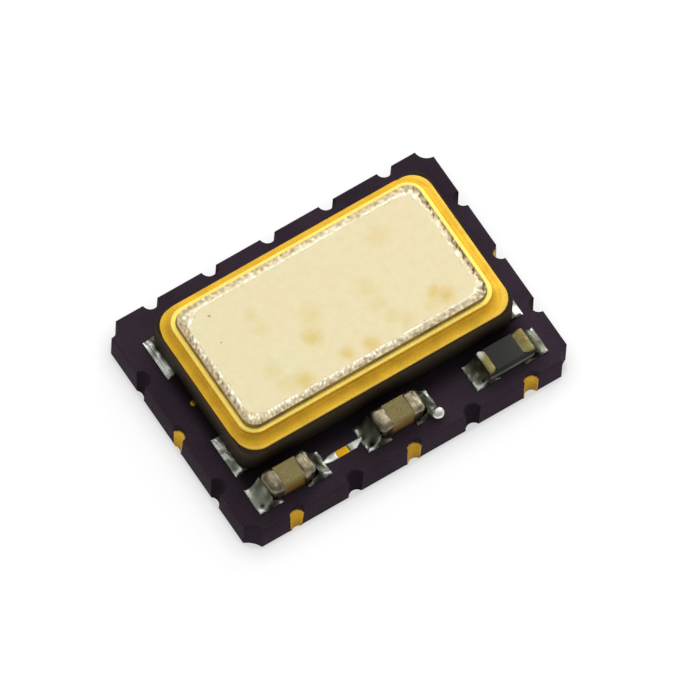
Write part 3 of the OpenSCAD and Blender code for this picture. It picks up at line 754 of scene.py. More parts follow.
def add_creep(mesh, chips, centre, side, floor, lean):
    """Solder that has crept along the trace. It narrows towards the chip's land and leans to one side there."""
    tone_layer = mesh.verts.layers.float["tone"]
    start = chips.land_span / 2 - 0.04 * MM
    end = chips.land_span / 2 + chips.creep_l
    half_w = chips.trace_w / 2 + 0.004 * MM
    loops = []
    for along in spaced(0.0, 1.0, 36):
        x = centre.x + side * (start + (end - start) * along)
        share = min(1.0, along / 0.55)
        width = half_w * (0.3 + 0.7 * share ** 0.8)
        middle_y = centre.y + lean * half_w * (1 - share)
        dome = 0.034 * MM * math.sqrt(max(0.02, min(1.0, (1 - along) / 0.08)))
        loop = []
        for step in range(17):
            angle = math.pi * step / 16
            y = middle_y - width * math.cos(angle)
            wave = noise.noise(Vector((x, y, 3 * MM)) * 5500)
            vertex = mesh.verts.new((x, y, floor - 0.002 * MM + dome * math.sin(angle) ** 0.45 * (0.9 + 0.3 * wave)))
            # Painted highlight: the crept solder's tone lies near the top of the solder ramp, close to white.
            vertex[tone_layer] = max(0.0, min(1.0, 1.0 + 0.6 * wave - 0.3 * abs(along - 0.4)))
            loop.append(vertex)
        loops.append(loop)
    bridge(mesh, loops)
    mesh.faces.new(loops[0])
    mesh.faces.new(loops[-1])


def build_trace(base, chips):
    """The capacitors' two inner lands and the printed gold trace between them, which is narrow at its ends."""
    low, high = node_box("capacitor_link")
    middle_y, half_w = (low.y + high.y) / 2, chips.trace_w / 2
    neck, neck_l, edge = 0.2, 0.24 * MM, 0.004 * MM
    half_land = (high.y - low.y) / 2
    first, last = low.x + chips.land_l, high.x - chips.land_l
    stations = [(low.x, half_land), (first - 0.02 * MM, half_land), (first, half_land * 0.9)]
    for share in spaced(0.0, 1.0, 61):
        x = first + (last - first) * share
        near_end = min(x - first, last - x) / neck_l
        wobble = 0.003 * MM * noise.noise(Vector((share * 30, 0, 0)))
        stations.append((x + 0.001 * MM * (1 - 2 * share), half_w * (neck + (1 - neck) * min(1.0, near_end)) + wobble))
    stations += [(last, half_land * 0.9), (last + 0.02 * MM, half_land), (high.x, half_land)]
    mesh = bmesh.new()
    loops = [add_loop(mesh, [
        (x, middle_y - width, low.z), (x, middle_y - width + edge, high.z),
        (x, middle_y + width - edge, high.z), (x, middle_y + width, low.z)]) for x, width in stations]
    bridge(mesh, loops)
    mesh.faces.new(loops[0])
    mesh.faces.new(loops[-1])
    gold = metal_material("printed_gold", tuple(base.printed), scaled(tuple(base.printed), 0.85), 0.4, grain=22.0)
    piece("gold_trace", mesh, gold, "gold_plating", "capacitor_link")
    return gold


def add_ball(mesh, centre, radius):
    """A ball of solder, drawn out a little towards its joint. Its faces take the second material."""
    tone_layer = mesh.verts.layers.float["tone"]
    ball = bmesh.ops.create_icosphere(mesh, subdivisions=4, radius=radius, matrix=Matrix.Translation(centre))
    for vertex in ball["verts"]:
        away = vertex.co - centre
        vertex.co += away.normalized() * (0.008 * MM * noise.noise(vertex.co * 9000))
        if away.x < 0:
            vertex.co.x += 0.3 * away.x
        vertex[tone_layer] = 0.8
        for face in vertex.link_faces:
            face.material_index = 1


def solder_material(chips, name="reflowed_solder", tone=None):
    """Reflowed solder, from dark hollows, flux stained and with painted shade, to bright tips with painted highlights.
    The mesh's tone attribute sets it.
    """
    material, tree, shader = new_material(name)
    place = texture_place(tree)
    bright, stained = tuple(chips.solder), tuple(chips.flux)
    if tone is None:
        attribute = tree.nodes.new("ShaderNodeAttribute")
        attribute.attribute_name = "tone"
        tone = attribute.outputs["Fac"]
    else:
        tone = ramp(tree, add_noise(tree, place, 3, 2), [(0.3, tone - 0.1), (0.7, tone + 0.1)])
    shade = ramp(tree, tone, [
        (0.0, scaled(stained, 0.15)), (0.3, scaled(stained, 0.8)), (0.6, bright), (0.85, (1, 1, 0.97))])
    fine = ramp(tree, add_noise(tree, place, 22, 4, 0.65), [(0.3, (0.74, 0.76, 0.7)), (0.6, 1.0)])
    tree.links.new(blend_colours(tree, 1.0, shade, fine, "MULTIPLY"), shader.inputs["Base Color"])
    shader.inputs["Metallic"].default_value = 1.0
    tree.links.new(ramp(tree, add_noise(tree, place, 5, 3), [(0.3, 0.3), (0.7, 0.5)]), shader.inputs["Roughness"])
    bump(tree, shader, add_noise(tree, place, 13, 4, 0.65), 0.5, 0.012 * MM)
    return material


# Each chip joint as (land's end, power, tone, painted shade at the chip, spots), with lengths in millimetres; a spot's
# tone above zero paints a highlight and one below zero paints shade.
JOINTS = {
    "capacitor_1_left": (0.775, 2.0, 0.55, 0.16, (
        (0.93, 0.85, 0.05, 0.03, 0.7), (0.6, 0.6, 0.05, 0.0, 0.12), (0.97, -0.95, 0.06, 0.035, 0.8),
        (0.7, -1.0, 0.04, 0.02, 0.45), (0.42, -1.0, 0.035, 0.01, 0.35), (0.62, -0.62, 0.035, -0.02, -0.55),
        (-0.6, -1.0, 0.03, 0.0, 0.5), (0.3, 0.5, 0.09, 0.0, -0.12))),
    "capacitor_1_right": (0.775, 2.0, 0.50, 0.1, (
        (0.9, 0.8, 0.03, 0.025, 0.5), (0.9, -0.9, 0.11, 0.05, 0.7), (0.55, -0.85, 0.09, 0.02, 0.35),
        (0.5, 0.3, 0.1, -0.01, -0.15))),
    "capacitor_2_left": (0.775, 2.0, 0.54, 0.12, (
        (0.95, 0.78, 0.04, 0.035, 0.65), (0.95, 0.48, 0.025, 0.015, 0.3), (0.85, 0.1, 0.06, -0.025, -0.3),
        (0.95, -0.5, 0.03, 0.02, 0.6), (0.96, -0.98, 0.06, 0.04, 1.1), (0.68, -1.03, 0.04, 0.02, 0.8),
        (0.42, -1.0, 0.03, 0.02, 0.6), (0.15, -0.8, 0.025, 0.015, 0.4), (0.62, -0.6, 0.055, -0.03, -0.5),
        (0.8, -0.8, 0.05, 0.02, 0.4))),
    "capacitor_2_right": (0.775, 1.9, 0.5, 0.1, (
        (0.93, 0.75, 0.035, 0.035, 0.65), (0.9, 0.48, 0.03, 0.015, 0.4), (0.6, 0.2, 0.1, 0.0, 0.08),
        (0.75, -0.6, 0.07, 0.04, 0.6))),
    "resistor_left": (0.775, 1.7, 0.42, 0.14, (
        (0.97, -0.95, 0.09, 0.035, 0.9), (0.7, -0.97, 0.05, 0.01, 0.5), (0.4, -0.95, 0.05, 0.0, 0.3),
        (0.97, -0.4, 0.04, 0.01, 0.25), (0.98, 0.2, 0.04, 0.01, 0.2), (1.0, 0.9, 0.04, 0.02, 0.35),
        (0.39, -0.68, 0.025, -0.02, -0.5))),
    "resistor_right": (0.755, 2.6, 0.50, 0.3, (
        (0.9, -0.95, 0.05, 0.045, 0.7), (0.85, 0.85, 0.05, 0.03, 0.4), (0.85, 0.0, 0.1, 0.02, 0.0),
        (0.05, 0.6, 0.08, 0.0, -0.6), (0.05, 0.0, 0.08, 0.0, -0.6), (0.05, -0.6, 0.08, 0.0, -0.6))),
}


# The package's spots as (along the strip, length, height, tone); a tone above zero paints a highlight and one below
# zero paints shade.
PACKAGE_SPOTS = {
    "front_left": ((0.62, 0.06, 0.02, 0.4), (0.05, 0.05, 0.02, 0.6), (-0.3, 0.1, 0.0, -0.15), (-0.85, 0.06, 0.05, 0.35)),
    "front_right": ((-0.9, 0.07, 0.03, 0.6), (0.4, 0.1, 0.0, 0.1)),
    "back_left": ((0.92, 0.07, 0.01, 0.6), (0.45, 0.08, -0.01, -0.15), (-0.35, 0.16, 0.015, 0.3), (-0.9, 0.06, 0.0, 0.1)),
    "back_right": ((0.9, 0.07, 0.02, 0.5), (-0.5, 0.1, 0.0, 0.1)),
}


def build_chip_joints(chips):
    solder = solder_material(chips)
    shiny = metal_material("solder_ball", paint(240, 240, 232), paint(170, 172, 164), 0.28, 0.05, grain=9.0, spots=0.3, bump_height=0.006)
    floor = node_box("base_substrate")[1].z
    land_top = floor + 0.015 * MM
    rows = (
        ("capacitor_1", "capacitor_1_body", chips.capacitor_climb, "right", -0.2),
        ("capacitor_2", "capacitor_2_body", chips.capacitor_climb, "left", 0.65),
        ("resistor", "resistor_body", chips.resistor_climb, None, 0),
    )
    for seed, (name, body, climb, crept, lean) in enumerate(rows):
        centre = middle(body)
        low, high = node_box(name + "_end_right")
        for side, word in ((-1, "left"), (1, "right")):
            mesh = solder_mesh()
            add_joint(mesh, chips, centre, side, high.x - centre.x, (high.y - low.y) / 2, climb,
                      JOINTS[f"{name}_{word}"], floor, seed * 10 + side)
            if crept == word:
                add_creep(mesh, chips, centre, side, land_top, lean)
            node = f"{name}_solder_{word}"
            if node == "capacitor_2_solder_right":
                ball_low, ball_high = node_box(node)
                place = Vector((ball_high.x - 0.104 * MM, ball_low.y + 0.097 * MM, land_top + chips.ball_r))
                add_ball(mesh, place, chips.ball_r)
            piece("joint_" + name + "_" + word, mesh, [solder, shiny], "solder", node)


def brick_section(x, half_w, low_z, high_z, radius, inset):
    """Rounded rectangle across X, as points in the YZ plane."""
    half_h = (high_z - low_z) / 2
    flat = rounded_outline(2 * (half_w - inset), 2 * (half_h - inset), max(radius - inset, 0.002 * MM), 0)
    return [Vector((x, p.x, p.y + (low_z + high_z) / 2)) for p in flat]


def end_profile(length, radius, steps=7):
    """Insets and distances of the sections that round a brick's end off."""
    profile = []
    for i in range(steps + 1):
        angle = math.radians(90 * i / steps)
        profile.append((radius * (1 - math.cos(angle)), length - radius * (1 - math.sin(angle))))
    return profile


def build_end_cap(node, side, material, name, seed):
    """A plated end of a capacitor: a cup with round edges, thick at its lip."""
    low, high = node_box(node)
    thick, radius = 0.02 * MM, 0.125 * MM
    middle_y, half_w = (low.y + high.y) / 2, (high.y - low.y) / 2
    tip = high.x if side > 0 else low.x
    lip = low.x if side > 0 else high.x
    length = abs(tip - lip)
    sections = []
    for inset, along in reversed(end_profile(length - thick, radius - thick)):
        sections.append((thick + inset, along))
    sections.append((thick, 0.0))
    sections += [(0.012 * MM, -0.006 * MM), (0.003 * MM, 0.004 * MM), (0.0, 0.02 * MM)]
    sections += [(0.0, length * 0.35), (0.0, length * 0.6)]
    sections += end_profile(length, radius)
    mesh = bmesh.new()
    loops = []
    for inset, along in sections:
        points = brick_section(lip + side * along, half_w, low.z, high.z, radius, inset)
        loops.append(add_loop(mesh, [p + Vector((0, middle_y, 0)) for p in points]))
    bridge(mesh, loops)
    mesh.faces.new(loops[0])
    mesh.faces.new(loops[-1])
    triangulate(mesh)
    bmesh.ops.subdivide_edges(mesh, edges=[e for e in mesh.edges if e.calc_length() > 0.06 * MM], cuts=2, use_grid_fill=True)
    bmesh.ops.recalc_face_normals(mesh, faces=mesh.faces)
    roughen(mesh, 0.028 * MM, 4500, seed)
    roughen(mesh, 0.006 * MM, 14000, seed)
    piece(name, mesh, material, "tin_ends", node)


def build_block(node, name, radius, material, slot, box=None, cap_l=0):
    """A block with round edges that fills its node's box, or the box given. Its ends are slimmer for cap_l."""
    low, high = box or node_box(node)
    middle_y, half_w = (low.y + high.y) / 2, (high.y - low.y) / 2
    length = high.x - low.x
    profile = [(inset, along, radius) for inset, along in end_profile(length / 2, radius, 5)]
    if cap_l:
        slim, covered_r = 0.035 * MM, 0.11 * MM
        profile = [(0.0, length / 2 - cap_l, radius), (slim, length / 2 - cap_l + 0.012 * MM, covered_r)] + [
            (slim + inset, along - 0.01 * MM, covered_r) for inset, along in end_profile(length / 2, 0.08 * MM, 4)]
    sections = [(inset, -along, corner) for inset, along, corner in reversed(profile)] + profile
    mesh = bmesh.new()
    loops = []
    for inset, along, corner in sections:
        points = brick_section((low.x + high.x) / 2 + along, half_w, low.z, high.z, corner, inset)
        loops.append(add_loop(mesh, [p + Vector((0, middle_y, 0)) for p in points]))
    bridge(mesh, loops)
    mesh.faces.new(loops[0])
    mesh.faces.new(loops[-1])
    triangulate(mesh)
    piece(name, mesh, material, slot, node)


def tin_material(name, base):
    """Fired and plated silver: mottled from brownish hollows to pale ridges."""
    material, tree, shader = new_material(name)
    place = texture_place(tree)
    mottle = ramp(tree, add_noise(tree, place, 6, 4, 0.62), [
        (0.34, tuple(c * k for c, k in zip(base, (0.6, 0.54, 0.52)))), (0.5, base), (0.68, scaled(base, 1.5))])
    tree.links.new(mottle, shader.inputs["Base Color"])
    shader.inputs["Metallic"].default_value = 1.0
    tree.links.new(ramp(tree, add_noise(tree, place, 9, 3), [(0.3, 0.3), (0.7, 0.5)]), shader.inputs["Roughness"])
    bump(tree, shader, add_noise(tree, place, 12, 4, 0.65), 0.6, 0.014 * MM)
    return material


def build_capacitors(chips):
    low, high = node_box("capacitor_1_body")
    tan = ceramic_material("capacitor_ceramic", tuple(chips.capacitor), grain=7, contrast=0.08, roughness=0.42, specular=0.4)
    # Painted shade: the capacitors' ceramic grows darker and more orange towards the bottom of the block.
    tint_by_height(tan, low.z, high.z, [(0.0, (0.20, 0.15, 0.06)), (0.35, (0.85, 0.62, 0.22)), (0.72, (1.0, 0.82, 0.5)), (0.9, 1.0)])
    for number, lift in ((1, 1.0), (2, 1.15)):
        body = f"capacitor_{number}_body"
        cap_l = node_box(f"capacitor_{number}_end_left")[1].x - node_box(body)[0].x
        build_block(body, f"capacitor_{number}_block", 0.04 * MM, tan, "capacitor_ceramic", cap_l=cap_l)
        # Painted shade: the left ends get a darker copy of the tin than the right ends.
        for word, side, share in (("left", -1, 0.70), ("right", 1, 0.9)):
            tin = tin_material(f"tin_{number}_{word}", scaled(tuple(chips.tin), share * lift))
            # Painted shade darkens the tin towards the bottom of the chip.
            tint_by_height(tin, low.z, high.z, [(0.0, (0.3, 0.31, 0.27)), (0.55, (0.5, 0.47, 0.42)), (0.85, (0.86, 0.84, 0.8)), (1.0, 1.0)])
            build_end_cap(f"capacitor_{number}_end_{word}", side, tin, f"capacitor_{number}_cap_{word}", number * 2 + side)


def height_ramp(tree, low_z, high_z, stops):
    """A ramp from low_z to high_z up the part."""
    coordinates = tree.nodes.new("ShaderNodeTexCoord")
    split = tree.nodes.new("ShaderNodeSeparateXYZ")
    tree.links.new(coordinates.outputs["Object"], split.inputs[0])
    spread = tree.nodes.new("ShaderNodeMapRange")
    spread.inputs["From Min"].default_value = low_z
    spread.inputs["From Max"].default_value = high_z
    tree.links.new(split.outputs["Z"], spread.inputs["Value"])
    return ramp(tree, spread.outputs["Result"], stops)


def tint_by_height(material, low_z, high_z, stops):
    """Multiplies a material's colour by a ramp from low_z to high_z."""
    tree = material.node_tree
    socket = tree.nodes["Principled BSDF"].inputs["Base Color"]
    before = socket.links[0].from_socket
    tree.links.new(blend_colours(tree, 1.0, before, height_ramp(tree, low_z, high_z, stops), "MULTIPLY"), socket)


def alumina_material(chips, low_z, high_z):
    """Scribed and broken alumina: dark under the film, pale where it broke, and darkened by painted shade at its foot.
    """
    material, tree, shader = new_material("alumina")
    place = texture_place(tree)
    pale = tuple(chips.alumina)
    bands = height_ramp(tree, low_z, high_z, [
        (0.12, scaled(pale, 0.14)), (0.26, scaled(pale, 0.55)), (0.40, scaled(pale, 0.55)), (0.52, scaled(pale, 0.07))])
    fine = ramp(tree, add_noise(tree, place, 14, 4, 0.7), [(0.3, 0.7), (0.7, 1.1)])
    tree.links.new(blend_colours(tree, 1.0, bands, fine, "MULTIPLY"), shader.inputs["Base Color"])
    tree.links.new(ramp(tree, add_noise(tree, place, 9, 3), [(0.3, 0.5), (0.7, 0.7)]), shader.inputs["Roughness"])
    shader.inputs["Specular IOR Level"].default_value = 0.2
    bump(tree, shader, add_noise(tree, place, 26, 4, 0.7), 0.5, 0.008 * MM)
    return material


def build_strip(node, side, length, material, name):
    """A resistor's wrapped end: a C round the body's end, with rounded corners on top."""
    low, high = node_box(node)
    tip = high.x if side > 0 else low.x
    thick = 0.02 * MM
    middle_y, half_w = (low.y + high.y) / 2, (high.y - low.y) / 2
    mesh = bmesh.new()
    loops = []
    for i in range(25):
        v = -1 + 2 * i / 24
        corner = max(0.0, (abs(v) - 0.72) / 0.28)
        reach = length * (1 - 0.55 * corner ** 2.2) + 0.01 * MM * noise.noise(Vector((v * 4, side * 3, 1)))
        shrink = 0.012 * MM * corner ** 3
        crown = 0.004 * MM * noise.noise(Vector((v * 5, side * 7, 2)))
        profile = [
            (reach, high.z - thick), (reach - 0.006 * MM, high.z - 0.006 * MM), (reach * 0.75, high.z + crown),
            (reach * 0.4, high.z - crown), (0.03 * MM, high.z - 0.002 * MM), (0.008 * MM, high.z - 0.012 * MM), (0.0, high.z - 0.04 * MM),
            (0.0, low.z + 0.02 * MM), (0.012 * MM, low.z), (length * 0.9, low.z), (length * 0.9, low.z + thick),
            (thick, low.z + thick), (thick, high.z - thick)]
        y = middle_y + v * (half_w - 0.004 * MM)
        loops.append(add_loop(mesh, [(tip - side * (x + shrink), y, z - shrink * 0.5) for x, z in profile]))
    bridge(mesh, loops)
    mesh.faces.new(loops[0])
    mesh.faces.new(loops[-1])
    triangulate(mesh)
    piece(name, mesh, material, "tin_ends", node)


# Silver spots on the resistor's strips, as (x, y, radius) in millimetres
SILVER_SPOTS = ((1.90, -1.70, 0.16),)


def build_resistor(chips):
    low, high = node_box("resistor_body")
    film = ceramic_material("glass_film", tuple(chips.film), grain=12, contrast=0.08, roughness=0.42, specular=0.3)
    strip = metal_material("strip_plating", tuple(chips.strip), paint(112, 90, 52), 0.45, 0.1, grain=14.0, spots=0.36, bump_height=0.012)
    tree = strip.node_tree
    socket = tree.nodes["Principled BSDF"].inputs["Base Color"]
    tree.links.new(blend_colours(tree, spot_mask(tree, SILVER_SPOTS), socket.links[0].from_socket, (0.75, 0.74, 0.68)), socket)
    build_block("resistor_body", "resistor_block", 0.012 * MM, alumina_material(chips, low.z, high.z), "white_ceramic")
    end_low, end_high = node_box("resistor_end_left")[0], node_box("resistor_end_right")[1]
    film_low, film_high = node_box("resistor_film")
    film_low.x, film_high.x = end_low.x + chips.left_strip - 0.005 * MM, end_high.x - chips.right_strip + 0.005 * MM
    film_low.y, film_high.y = low.y + 0.004 * MM, high.y - 0.004 * MM
    build_block("resistor_film", "resistor_coat", 0.008 * MM, film, "dark_film", box=(film_low, film_high))
    build_strip("resistor_end_left", -1, chips.left_strip, strip, "resistor_strip_left")
    build_strip("resistor_end_right", 1, chips.right_strip, strip, "resistor_strip_right")


def paint_lands(base, chips):
    gold = build_trace(base, chips)
    solder = solder_material(chips, "tinned_land", 0.3)
    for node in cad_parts:
        if node == "package_pads" or ("_land" in node and node != "blank_lands"):
            paint_node(node, solder)
    for node in ("blank_lands", "die_bumps"):
        paint_node(node, gold)


# The crystal package

def wall_material(package, low_z, high_z):
    """Fired ceramic, darkened by painted shade towards its foot, with a warm tint below its top edge that is partly
    gold bled over the edge and partly a painted reflection of the gold, and darker at the very edge.
    """
    material = ceramic_material("package_ceramic", tuple(package.ceramic), grain=12, contrast=0.1)
    tint_by_height(material, low_z, high_z, [(0.0, 0.22), (0.4, 0.45), (0.8, 0.8), (0.96, (1.0, 0.93, 0.7)), (1.0, (0.45, 0.42, 0.4))])
    return material


def build_package_body(package):
    """The ceramic box, with its cavity left to the seal that covers it."""
    low, high = node_box("package_body")
    centre = ((low.x + high.x) / 2, (low.y + high.y) / 2)
    length, width = high.x - low.x, high.y - low.y
    edge = package.edge_r
    mesh = bmesh.new()
    levels = []
    for step in range(4):
        angle = math.radians(90 * step / 3)
        levels.append((edge * (1 - math.sin(angle)), low.z + edge * (1 - math.cos(angle))))
    for step in range(4):
        angle = math.radians(90 * step / 3)
        levels.append((edge * (1 - math.cos(angle)), high.z - edge * (1 - math.sin(angle))))
    loops = []
    for inset, z in levels:
        loops.append(add_loop(mesh, rounded_outline(
            length - 2 * inset, width - 2 * inset, package.corner_r - inset, z, centre)))
    bridge(mesh, loops)
    mesh.faces.new(loops[0])
    cavity_l, cavity_w = length - 1.4 * MM, width - 1.4 * MM
    rim = add_loop(mesh, rounded_outline(cavity_l, cavity_w, 0.12 * MM, high.z, centre))
    floor = add_loop(mesh, rounded_outline(cavity_l, cavity_w, 0.12 * MM, high.z - 0.4 * MM, centre))
    bridge(mesh, [loops[-1], rim, floor])
    mesh.faces.new(floor)
    for side in (-1, 1):
        ledge_low = Vector((centre[0] - cavity_l / 2, 0, high.z - 0.42 * MM))
        ledge_high = Vector((ledge_low.x + 0.6 * MM, 0, high.z - 0.28 * MM))
        edges = sorted((centre[1] + side * cavity_w / 2, centre[1] + side * (cavity_w / 2 - 0.6 * MM)))
        ledge_low.y, ledge_high.y = edges
        add_box(mesh, ledge_low, ledge_high)
    triangulate(mesh)
    piece("ceramic_package", mesh, wall_material(package, low.z, high.z), "package_ceramic", "package_body", smooth_below=35)


def build_package_joints(package, chips):
    """The strips of solder outside the package's ends."""
    solder = solder_material(chips)
    base_top = node_box("base_substrate")[1].z
    body_low, body_high = node_box("package_body")
    gap = body_low.z - base_top - 0.02 * MM
    for seed, (corner, spots) in enumerate(PACKAGE_SPOTS.items()):
        node = "package_solder_" + corner
        low, high = node_box(node)
        side = -1 if "left" in corner else 1
        wall = body_low.x if side < 0 else body_high.x
        middle_y, half_w = (low.y + high.y) / 2, (high.y - low.y) / 2 + 0.006 * MM
        reach = package.land_out - 0.012 * MM
        flare = 0.022 * MM

        def surface(x, y):
            out, v = (x - wall) * side, (y - middle_y) / half_w
            if out < 0:
                # Painted shade: the solder under the package takes a dark tone.
                return gap, 0.2
            wave = noise.noise(Vector((x, y, 0)) * 6500 + Vector((seed * 7, 1, 0)))
            limit = reach + flare * (2 * abs(v) ** 6 - 0.5) + 0.012 * MM * wave
            u = out / limit
            height = (0.06 + 0.02 * wave) * MM
            # Painted shade darkens the tone within 0.03 mm of the package's wall.
            tone = 0.67 + 0.4 * wave - 0.5 * max(0.0, 1 - out / (0.03 * MM))
            for along, size_mm, lift, shade in spots:
                near = math.exp(-((v - along) * half_w / (size_mm * MM)) ** 2)
                height += lift * MM * near
                tone += shade * near
            edge = min(1.0, (1 - abs(v)) / 0.05) * max(0.0, min(1.0, (1 - u) / 0.25))
            return max(0.017 * MM, height * math.sqrt(max(0.0, edge))), max(0.0, min(1.0, tone))

        inner = low.x if side > 0 else high.x
        outs = [(inner - wall) * side, -0.002 * MM] + spaced(0.0, reach + 2 * flare, 26)
        mesh = solder_mesh()
        add_mound(mesh, sorted(wall + side * out for out in outs), spaced(middle_y - half_w, middle_y + half_w, 70), base_top, surface)
        piece("joint_package_" + corner, mesh, solder, "solder", node)


def swept_ring(profile, half_l, half_w, centre):
    """A closed profile of (reach, z) swept round a rounded rectangle with these corner centres."""
    mesh = bmesh.new()
    loops = []
    for reach, z in profile:
        loops.append(add_loop(mesh, rounded_outline(2 * (half_l + reach), 2 * (half_w + reach), reach, z, centre)))
    bridge(mesh, loops + [loops[0]])
    return mesh


def build_seal(package):
    """Seal metal, braze and ring."""
    low, high = node_box("seal_metal")
    centre = ((low.x + high.x) / 2, (low.y + high.y) / 2)
    length, width = high.x - low.x, high.y - low.y
    inner_l, inner_w = length - 1.21 * MM, width - 1.21 * MM
    edge = 0.02 * MM
    outer = []
    for step in range(6):
        angle = math.radians(90 * step / 5)
        inset = edge * (1 - math.cos(angle))
        outer.append(rounded_outline(
            length - 2 * inset, width - 2 * inset, package.metal_corner_r - inset,
            low.z + (high.z - low.z) * math.sin(angle), centre))
    inner = [rounded_outline(inner_l, inner_w, 0.12 * MM, z, centre) for z in (high.z, low.z)]
    mesh = bmesh.new()
    loops = [add_loop(mesh, points) for points in outer + inner]
    bridge(mesh, loops + [loops[0]])
    flat = metal_material("seal_gold", tuple(package.gold), scaled(tuple(package.gold), 0.9), 0.56, 0.06, grain=16.0, spots=0.34)
    speckle(flat, tuple(package.speck))
    piece("gold_frame", mesh, flat, "gold_plating", "seal_metal")

    ring_low, ring_high = node_box("seal_ring")
    centre = ((ring_low.x + ring_high.x) / 2, (ring_low.y + ring_high.y) / 2)
    reach = package.ring_corner_r
    half_l, half_w = ring_high.x - centre[0] - reach, ring_high.y - centre[1] - reach
    braze_low, braze_high = node_box("braze")
    spread = package.braze_share * (high.x - ring_high.x)
    height = ring_low.z - braze_low.z + braze_high.x - ring_high.x
    profile = [(reach - package.ring_band, braze_low.z)]
    for step in range(11):
        angle = math.radians(90 * step / 10)
        profile.append((reach + spread * (1 - math.sin(angle)), braze_low.z + 0.001 * MM + height * (1 - math.cos(angle))))
    profile.append((reach - package.ring_band, ring_low.z))
    dark = metal_material("braze_gold", tuple(package.braze), scaled(tuple(package.braze), 0.85), 0.55, 0.05, grain=16.0, spots=0.36)
    dark.node_tree.nodes["Principled BSDF"].inputs["Metallic"].default_value = 0.7
    piece("braze_fillet", swept_ring(profile, half_l, half_w, centre), dark, "gold_ring", "braze")

    round_r = package.ring_edge_r
    profile = [(reach - package.ring_band, ring_low.z), (reach, ring_low.z)]
    for step in range(9):
        angle = math.radians(90 * step / 8)
        profile.append((reach - round_r * (1 - math.cos(angle)), ring_high.z - round_r * (1 - math.sin(angle))))
    for step in range(9):
        angle = math.radians(90 * step / 8)
        profile.append((reach - package.ring_band + round_r * (1 - math.sin(angle)), ring_high.z - round_r * (1 - math.cos(angle))))
    gold = metal_material("ring_gold", tuple(package.ring), scaled(tuple(package.ring), 0.92), 0.4, 0.04, grain=10.0, spots=0.3, bump_height=0.001)
    # Painted shade: the ring's side wall is darker and more saturated than its top.
    wall_shade = (0.92, 0.82, 0.4)
    tint_by_height(gold, ring_low.z, ring_high.z, [(0.0, wall_shade), (0.74, wall_shade), (0.93, 1.0)])
    piece("gold_ring", swept_ring(profile, half_l, half_w, centre), gold, "gold_ring", "seal_ring")


def perimeter(length, width, radius, count, centre):
    """Evenly spaced (point, outward direction, distance) round a rounded rectangle."""
    half_l, half_w = length / 2 - radius, width / 2 - radius
    quarter = radius * math.pi / 2
    total = 4 * (half_l + half_w) + 4 * quarter
    legs = (
        (2 * half_w, 0), (quarter, 0), (2 * half_l, 1), (quarter, 1),
        (2 * half_w, 2), (quarter, 2), (2 * half_l, 3), (quarter, 3))
    result = []
    for i in range(count):
        distance = total * i / count
        left = distance
        for index, (leg, turn) in enumerate(legs):
            if left <= leg or index == len(legs) - 1:
                break
            left -= leg
        start = math.radians(90 * turn)
        sign_x = 1 if turn in (0, 3) else -1
        sign_y = 1 if turn in (0, 1) else -1
        corner = Vector((sign_x * half_l, sign_y * half_w, 0))
        if index % 2:
            angle = start + left / radius
            outward = Vector((math.cos(angle), math.sin(angle), 0))
            point = corner + outward * radius
        else:
            outward = Vector((math.cos(start), math.sin(start), 0))
            forward = Vector((-outward.y, outward.x, 0))
            point = corner + outward * radius - forward * (leg - left)
        result.append((point + Vector((*centre, 0)), outward, distance))
    return result


# Where the lid is stained and speckled, as (x, y, radius) in millimetres
LID_STAINS = ((-0.74, -0.06, 0.1), (-1.27, -0.75, 0.32), (1.85, -0.64, 0.3), (1.70, -0.48, 0.2), (-0.66, -0.08, 0.3), (0.16, -0.77, 0.26), (-0.32, -0.7, 0.24))
LID_TINGES = (
    (0.70, -0.16, 0.32), (0.8, -0.5, 0.28), (0.98, -0.72, 0.26), (1.44, 1.02, 0.36), (-1.38, 0.86, 0.22), (-1.38, 0.54, 0.22),
    (-1.66, -0.3, 0.3), (-1.62, -0.62, 0.3), (0.69, 0.21, 0.34), (-0.46, 0.3, 0.34), (1.55, -0.66, 0.24))
LID_SPECKS = ((-2.054, 1.277, 0.05), (-2.14, 0.717, 0.04))

# How far each corner of the weld's inner edge is drawn in, as side along X, side along Y and millimetres
CORNER_PULLS = {(-1, 1): 0.17, (-1, -1): 0.09, (1, -1): 0.09, (1, 1): 0.10}


